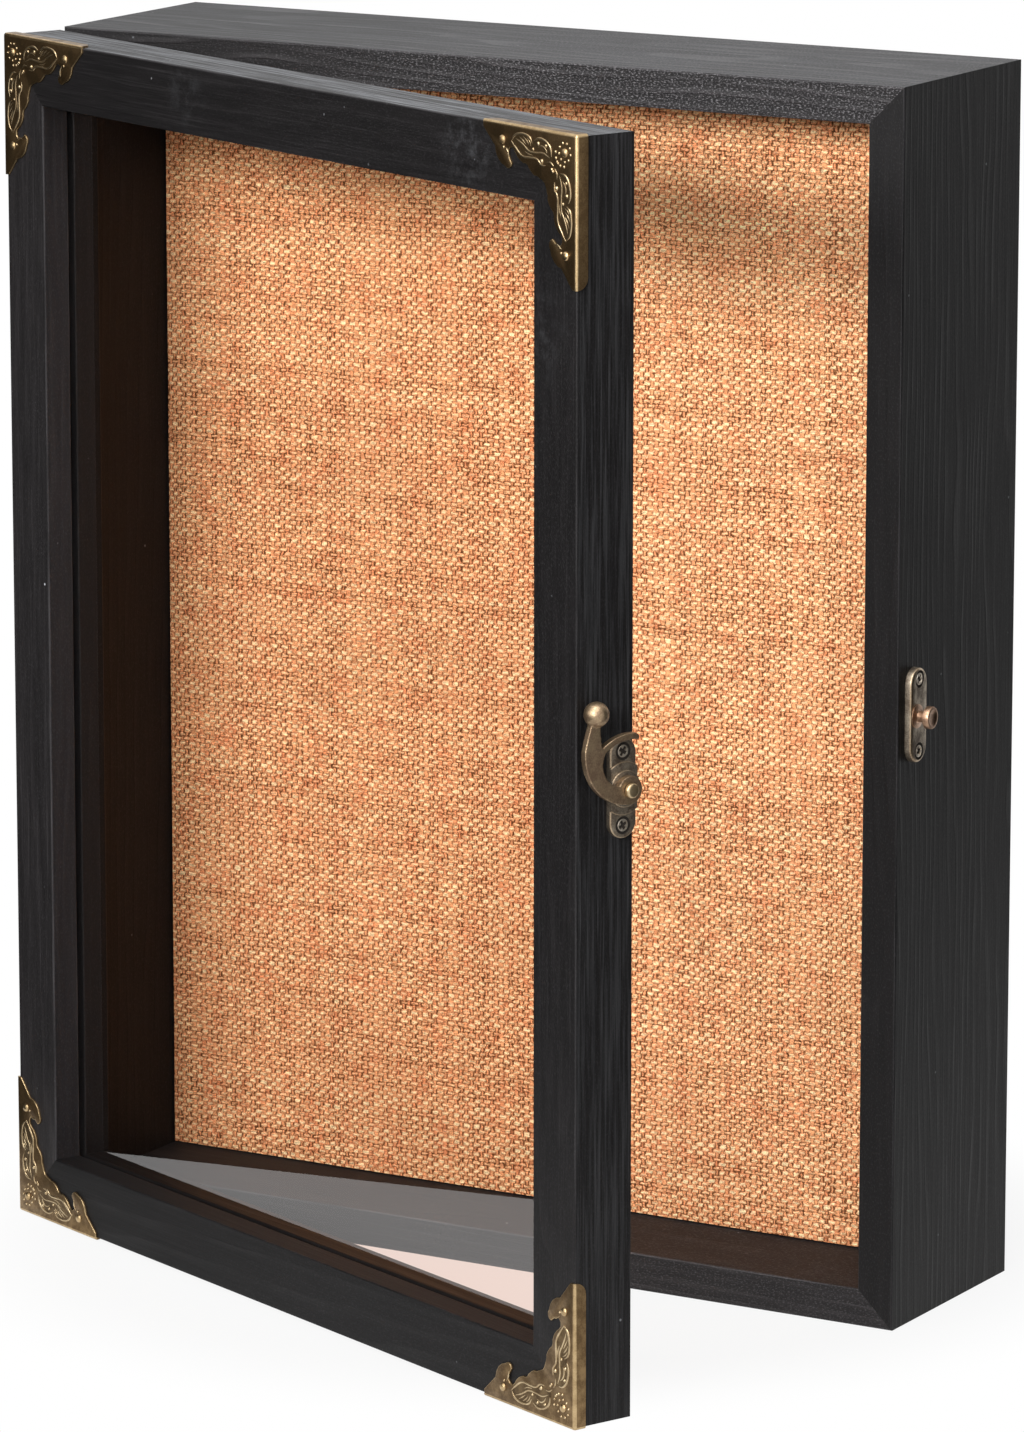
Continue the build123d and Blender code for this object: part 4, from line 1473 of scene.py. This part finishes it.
def protector(corner, mirrored_axes):
    """One protector: the folded sheet with its thickness, and the scroll."""
    name = f"protector_{corner}"
    piece = weld([folded_sheet(name), scroll()], name)
    for axis in mirrored_axes:
        flip = Vector((1, 1, 1))
        flip[axis] = -1
        choose_all(piece)
        bpy.ops.transform.resize(value=flip, center_override=(0, 0, door_middle_z))
        bpy.ops.mesh.flip_normals()
        done()
    hang(piece)
    soften(38)
    stand_for(piece, f"corner_{corner}", "door")


protector("top_right", ())
protector("top_left", (0,))
protector("bottom_right", (2,))
protector("bottom_left", (0, 2))

# %% [markdown]
# ## The latch
#
# The latch is a cast plate with a stepped boss, a hook that swings on a rivet, and a
# ball for the finger. The plate is a disc stretched into a slot, with the boss on
# top cut off at the plate's sides. The screws sit in shallow dishes, whose faces are
# painted dark as shade, and the rims of plate and boss are rubbed bright.

# %% Latch plate
plate_low, plate_high = shut_box("latch_plate")
pivot = Vector((door_high.x, (plate_low.y + plate_high.y) / 2, (plate_low.z + plate_high.z) / 2))
LATCH = Matrix.Translation(pivot) @ FACING["right"]
latch_thickness = 1.6 * MM
latch_width = plate_high.y - plate_low.y
latch_length = plate_high.z - plate_low.z
latch_screw_spacing = 20.4 * MM
boss_top = plate_high.x - door_high.x
# Each step of the boss: its radius and its top.
boss_steps = ((7.4 * MM, latch_thickness + 0.5 * MM), (5.1 * MM, boss_top))
boss_root = 0.3 * MM
boss_rim = 0.3 * MM
dish_radius = 2.5 * MM
dish_depth = 0.35 * MM
past_face = 1 * MM
print("latch plate", [round(v / MM, 2) for v in plate_high - plate_low])


def round_rim(piece, height, width, steps=3, **finish):
    """Rounds the edges that lie all at one height."""
    corners = piece.data.vertices

    def at_height(edge):
        return all(abs(corners[i].co.z - height) < touching for i in edge.vertices)

    choose(piece, "EDGE", at_height)
    bpy.ops.mesh.bevel(offset=width, segments=steps, **finish)
    done()


def slot_plate(name, width, length, high, rim):
    """A plate with round ends: a disc with its two halves drawn apart."""
    plate = disc(name, width / 2, 0.0, high, sides=46)
    dress(plate, plate_brass, rubbed_edge, grime)
    for end in (-1, 1):
        choose(plate, "VERT", lambda vertex: vertex.co.y * end > 0)
        bpy.ops.transform.translate(value=(0, end * (length - width) / 2, 0))
        done()
    round_rim(plate, high, rim, material=1)
    return plate


def dish(plate, spacing, top):
    """Two shallow round dishes for the screws, with their faces painted dark as shade."""
    for end in (-1, 1):
        cutter = disc("dish", dish_radius, top - dish_depth, top + past_face, sides=40)
        cutter.location = (0, end * spacing / 2, 0)
        settle(cutter)
        dress(cutter, grime)
        carve(plate, cutter)


latch = slot_plate("latch_body", latch_width, latch_length, latch_thickness, 0.4 * MM)
for radius, top in boss_steps:
    boss = disc("boss", radius, boss_root, top, sides=64)
    dress(boss, plate_brass, rubbed_edge, grime)
    round_rim(boss, top, boss_rim, material=1)
    side = slot_plate("side", latch_width, latch_length, boss_top + past_face, 0.1 * MM)
    carve(boss, side, "INTERSECT")
    carve(latch, boss, "UNION")
dish(latch, latch_screw_spacing, latch_thickness)


def mount(piece, place, body, node, angle=35):
    """Puts a piece made flat on the bench where it belongs, and hangs it on the door."""
    piece.matrix_world = place
    settle(piece)
    if body != "case":
        hang(piece)
    soften(angle)
    stand_for(piece, node, body)


mount(latch, LATCH, "door", "latch_plate")

# %% [markdown]
# The rivet's head is a low button over the hook's eye, on a neck that goes down
# through the eye and into the plate.

# %% Latch rivet
rivet_low, rivet_high = shut_box("latch_rivet")
rivet_radius = (rivet_high.z - rivet_low.z) / 2
rivet_height = 1.3 * MM
rivet_rim = 0.75 * MM
neck_radius = 1.3 * MM
latch_rivet = disc("latch_rivet_head", rivet_radius, -rivet_height, 0.0, sides=40)
round_rim(latch_rivet, 0.0, rivet_rim, steps=5)
neck = disc("neck", neck_radius, pivot.x - rivet_high.x, -rivet_height + 0.1 * MM, sides=24)
latch_rivet = weld([latch_rivet, neck], "latch_rivet_head")
dress(latch_rivet, lined)
lift = Matrix.Translation((0, 0, rivet_high.x - pivot.x))
mount(latch_rivet, LATCH @ lift, "door", "latch_rivet")

# %% [markdown]
# The hook's shape follows from its work. Its horn is an arc about the rivet, just
# outside the stud's neck, so the hook slides round the stud as it drops. A thick
# crescent joins the horn to the eye and keeps clear of the stud's head. The flat
# shape is drawn from those radii, given its thickness, joined to the ball, and then
# skinned over and smoothed, as casting and tumbling round off a brass hook.

# %% Outline of the swing hook
stud_low, stud_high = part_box("catch_stud")
stud_middle = (stud_low + stud_high) / 2
stud_reach = stud_middle.y - pivot.y
stud_neck = 1.6 * MM
horn_in = stud_reach + stud_neck + 0.15 * MM
horn_out = horn_in + 1.8 * MM
eye_radius = 3.9 * MM
ball_radius = 3.5 * MM
ball_turn = 116.3
arm_half = 1.15 * MM
print("horn radius", round(horn_in / MM, 2))


def around(radius, angle):
    """A place about the rivet: radius in metres, angle in degrees from the back."""
    return (radius * math.cos(math.radians(angle)), radius * math.sin(math.radians(angle)))


knob = around(horn_in + 10.6 * MM, ball_turn)
arm_x, arm_y = around(arm_half, ball_turn - 55)
arm_left = (knob[0] - arm_y, knob[1] + arm_x)
arm_right = (knob[0] + arm_y, knob[1] - arm_x)
# The eye, the crescent's back, the arm's two sides, the horn's back, tip and front,
# and the crescent's front.
shape = [around(eye_radius, 265)]
shape += arc(shape[-1], around(horn_in - 1.2 * MM, 169), around(horn_in + 5.6 * MM, 141.5), 14)
shape += arc(shape[-1], around(horn_in + 7.1 * MM, 133.5), arm_left, 5)
shape += arc(arm_right, around(horn_out + 2.2 * MM, 123.5), around(horn_out, 127), 5)
shape += arc(shape[-1], around(horn_out, 105), around(horn_out, 83), 10)
shape += [around((horn_in + horn_out) / 2 + 0.2 * MM, 78.6), around(horn_in, 79)]
shape += arc(shape[-1], around(horn_in, 103), around(horn_in, 127), 10)
shape += arc(shape[-1], around(horn_in - 3.6 * MM, 148), around(3.7 * MM, 158), 10)

# %% [markdown]
# The eye and the ball only overlap the flat shape. A remesh wraps all three in one
# skin, and smoothing softens it. The rivet's shallow seat and its hole are cut
# after that, so their edges stay crisp.

# %% Swing hook
hook_bottom = 3.0 * MM
hook_top = 5.0 * MM
hook_middle = (hook_bottom + hook_top) / 2
skin = 0.2 * MM
seat_room = 0.45 * MM
seat_depth = 0.12 * MM
hole_radius = 1.4 * MM
hole_top = 8 * MM
hook = drawn("swing_hook", [(x, y, hook_bottom) for x, y in shape])
fill(hook)
pull(z=hook_top - hook_bottom)
face_out()
done()
eye = disc("eye", eye_radius, hook_bottom, hook_top, sides=48)
knob_ball = ball("knob", ball_radius, (*knob, hook_middle), segments=40, rings=24)
hook = weld([hook, eye, knob_ball], "swing_hook")
apply_modifier(hook, "REMESH", mode="VOXEL", voxel_size=skin)
apply_modifier(hook, "SMOOTH", factor=0.5, iterations=4)
dress(hook, cast)
seat_low = hook_top - seat_depth
seat = disc("seat", rivet_radius + seat_room, seat_low, hook_top + past_face, sides=48)
# The seat is painted dark, as shade.
dress(seat, grime)
carve(hook, seat)
carve(hook, disc("hole", hole_radius, 0.0, hole_top, sides=32))
mount(hook, LATCH, "hook", "latch_hook", angle=50)

# %% [markdown]
# ## The catch
#
# The catch is a plate with round ends on the case, dished for its screws, and a stud
# like a small spool. The stud is a turned part, so its outline is spun about its
# axis: a root in the wood, a collar on the plate, the neck that the horn slides
# round, and a head with a slightly sunk middle. It is a redder metal than the rest.

# %% Catch plate and stud
plate_low, plate_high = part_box("catch_plate")
catch_middle = (plate_low + plate_high) / 2
catch_size = plate_high - plate_low
catch_screw_spacing = 20.7 * MM
catch_place = Matrix.Translation((case_high.x, catch_middle.y, catch_middle.z))
catch = slot_plate("catch_body", catch_size.y, catch_size.z, catch_size.x, 0.7 * MM)
dish(catch, catch_screw_spacing, catch_size.x)
mount(catch, catch_place @ FACING["right"], "case", "catch_plate")

# Radius and height along the stud's axis, in millimetres.
stud_profile = (
    (0.0, 0.0), (1.6, 0.0), (1.6, 2.2), (3.25, 2.2), (3.4, 2.35), (3.4, 2.6), (3.2, 2.7),
    (2.0, 2.8), (1.65, 3.1), (1.6, 3.6), (1.6, 4.7), (1.7, 5.1), (2.2, 5.36), (3.05, 5.4),
    (3.25, 5.55), (3.25, 6.9), (3.05, 7.3), (2.6, 7.4), (2.1, 7.32), (1.8, 7.1), (0.0, 7.0),
)
stud = drawn("spool_stud", [(r * MM, 0, u * MM) for r, u in stud_profile], closed=False)
dress(stud, copper)
choose_all(stud, "EDGE")
bpy.ops.mesh.spin(steps=44, angle=math.tau, center=(0, 0, 0), axis=(0, 0, 1))
bpy.ops.mesh.select_all(action="SELECT")
bpy.ops.mesh.remove_doubles(threshold=touching)
face_out()
done()
stud_place = Matrix.Translation((case_high.x, stud_middle.y, stud_middle.z))
mount(stud, stud_place @ FACING["right"], "case", "catch_stud")

# %% [markdown]
# ## Hinges, hangers and the back
#
# These pieces keep the CAD's own solids, which are already what the real parts are:
# folded leaves, pressed strips, planed battens and a sheet of hardboard. They only
# need their finishes. The battens are bare pine, so they use the grain of the
# stained boards with two pale tones.

# %% Hinges, hangers and battens
for node, solid in frame["nodes"].items():
    if node.startswith("hinge_") and not node.endswith("screws"):
        dress(solid, browned)
for side in ("left", "right"):
    dress(frame["nodes"][f"hanger_{side}"], steel)


def planed_pine(name, letters):
    """Bare pine for hidden parts."""
    material, place = new_finish(name)
    late, fibres = grain_of(place, (0.0, 0.02, 0.18), letters, (0.03, 0.04, 0.02))[:2]
    grain = late * 0.7 + fibres * 0.35
    values = {
        "Base Color": blend(grain, (0.72, 0.52, 0.31), (0.47, 0.28, 0.13)),
        "Roughness": fibres * 0.2 + 0.5,
        "Normal": raised(late * 0.5 + fibres * 0.5, 0.12 * MM, 0.5),
    }
    coat(place, values)
    return material


pine_upright = planed_pine("bare_pine_upright", "ZXY")
pine_level = planed_pine("bare_pine_level", "XZY")
for side in SIDES:
    batten = frame["nodes"][f"batten_{side}"]
    dress(batten, pine_level if side in ("top", "bottom") else pine_upright)
    print("batten", side, "in", batten.data.materials[0].name)

# %% [markdown]
# Hardboard is wood fibre pressed wet on a wire screen, which leaves a fine mesh
# pattern on its back. Long fibres show as pale chips, and the board darkens in
# clouds where the press was hottest.

# %% Hardboard
hardboard, place = new_finish("hardboard")
x, y, z = axes(place)
screen_pitch = 1.3 * MM
board_pale = (0.37, 0.235, 0.135)
board_dark = (0.215, 0.122, 0.062)
chip_shade = (0.50, 0.345, 0.205)
screen_x = x.maths("SINE", x * (math.tau / screen_pitch))
screen_z = z.maths("SINE", z * (math.tau / screen_pitch))
screen = screen_x * screen_z * 0.5 + 0.5
flecks = noise(place, 420, 3.0, 0.6)
felt = noise(stretched(place, (1.0, 1.0, 1.6)), 1500, 2.0, 0.6)
clouds = noise(stretched(place, (1.0, 1.0, 0.5)), 22, 4.0, 0.65)
chips = step(noise(stretched(place, (0.35, 1.0, 1.0)), 620, 3.0, 0.7), 0.58, 0.72)
board_colour = blend(step(clouds, 0.32, 0.68), board_pale, board_dark)
board_colour = blend(chips * 0.45, board_colour, chip_shade)
board_values = {
    "Base Color": tinted(board_colour, (screen * 0.30 + 0.75) * (flecks * 0.5 + 0.75)),
    "Roughness": felt * 0.25 + 0.45,
    "Normal": raised(felt * 0.3 + flecks * 0.3 + screen * 0.6, 0.16 * MM, 0.6),
}
coat(place, board_values)
dress(frame["nodes"]["back_panel"], hardboard)
print("hardboard nodes:", len(hardboard.node_tree.nodes))

# %% [markdown]
# ## Background
#
# The background is plain white. The camera, the glass and the metal see it at its
# full strength, while the light that it throws on the object is much weaker, so the
# lamps alone shape the light and the shadows keep their depth.


# %% Background
def looked_at(place):
    """1 for what the camera, a mirror or glass sees, and 0 for the light's own rays."""
    camera_ray, glossy_ray, through_ray = (
        place.node("ShaderNodeLightPath", {}, {}, output=f"Is {kind} Ray")
        for kind in ("Camera", "Glossy", "Transmission")
    )
    return larger(larger(camera_ray, glossy_ray), through_ray)


white = (1.0, 1.0, 1.0)
sky_light = 0.10
world = bpy.data.worlds.new("studio")
bpy.context.scene.world = world
world.use_nodes = True
world.node_tree.nodes.clear()
seen = looked_at(Wire(world.node_tree, None))
sky_values = {"Color": white, "Strength": seen * (1 - sky_light) + sky_light}
sky = seen.node("ShaderNodeBackground", {}, sky_values)
sky.node("ShaderNodeOutputWorld", {}, {"Surface": sky})

# %% [markdown]
# ## Floor
#
# A pale floor fades into the white background a short way from the case and keeps a
# soft shadow near it. The table just before the case is pale wood. It is seen
# through the pane alone, so its tint is laid only where a ray has come through glass.

# %% Floor
pale_wood = (0.93, 0.74, 0.67)
table_middle = (0.02, -0.065)
floor_finish, place = new_finish("studio_floor")
x, y, z = axes(place)
paper = place.node("ShaderNodeBsdfDiffuse", {}, {"Color": (0.45, 0.45, 0.44)})
bright = place.node("ShaderNodeEmission", {}, {"Color": white, "Strength": 1.0})
table = place.node("ShaderNodeEmission", {}, {"Color": pale_wood, "Strength": 1.0})
behind_glass = place.node("ShaderNodeLightPath", {}, {}, output="Transparent Depth")
before_case = 1 - step(apart(x, y, *table_middle), 0.06, 0.12)
backdrop = layered(behind_glass * before_case, bright, table)
# Nine tenths white near the case, so its shadow shows, and all white from 19 cm out.
fade = step(apart(x, y, 0.0, 0.0), 0.13, 0.19) * 0.10 + 0.90
cover(layered(looked_at(place) * fade, paper, backdrop))
clear_selection()
bpy.ops.mesh.primitive_plane_add(size=12, location=(0, 0, -0.2 * MM))
floor = fresh("studio_floor")
dress(floor, floor_finish)
print("floor", [round(v, 1) for v in floor.dimensions])

# %% [markdown]
# ## Black cards
#
# Two black cards stand just outside the picture, as a studio would put them. The
# glass and the brass would otherwise mirror the white surroundings all over and
# lose their depth. Only mirrored rays meet the cards, so they shade nothing. The
# left card starts a hand's width from the door, so the foot of the glass still
# mirrors a strip of the pale floor.

# %% Black cards
card_finish, place = new_finish("black_card")
coat(place, {"Base Color": (0.01, 0.01, 0.01), "Roughness": 1.0, "Specular IOR Level": 0.0})
card_height = 420 * MM


def black_card(name, start, end):
    """A card that stands on the floor between two points and shows only in mirrors."""
    middle = (Vector(start) + Vector(end)) / 2 * MM
    reach = (Vector(end) - Vector(start)) * MM
    clear_selection()
    bpy.ops.mesh.primitive_plane_add(size=1, location=(middle.x, middle.y, card_height / 2))
    turn = (math.pi / 2, 0, math.atan2(reach.y, reach.x))
    card = fresh(name, scale=(reach.length, card_height, 1), turn=turn)
    dress(card, card_finish)
    card.visible_camera = False
    card.visible_diffuse = False
    card.visible_shadow = False
    card.visible_transmission = False
    print(name, round(reach.length / MM), "mm wide")


black_card("left_card", (-330, 106), (110, -508))
black_card("right_card", (230, -160), (420, 520))

# %% [markdown]
# ## Lamps
#
# The key light is a wide, low soft box straight in front and a little above the case.
# From there the door's top rail throws a soft shadow on the burlap, and the case top
# shades the cloth's upper edge. A second, weaker box hangs overhead and picks out the
# top board and the door's top rail.


# %% Lamps
def soft_box(name, azimuth, elevation, distance, size, watts):
    """A soft lamp that faces the middle of the case."""
    data = bpy.data.lights.new(name, "AREA")
    data.shape = "RECTANGLE"
    data.size, data.size_y = size
    data.energy = watts
    middle = Vector((0, 0, case_middle_z))
    lamp = aimed(name, data, middle, direction(azimuth, elevation), distance)
    print(name, "at", [round(v, 2) for v in lamp.location])


soft_box("key_light", azimuth=-4, elevation=20, distance=2.2, size=(2.3, 0.48), watts=61)
soft_box("overhead_light", azimuth=24, elevation=58, distance=1.5, size=(0.9, 0.6), watts=12)
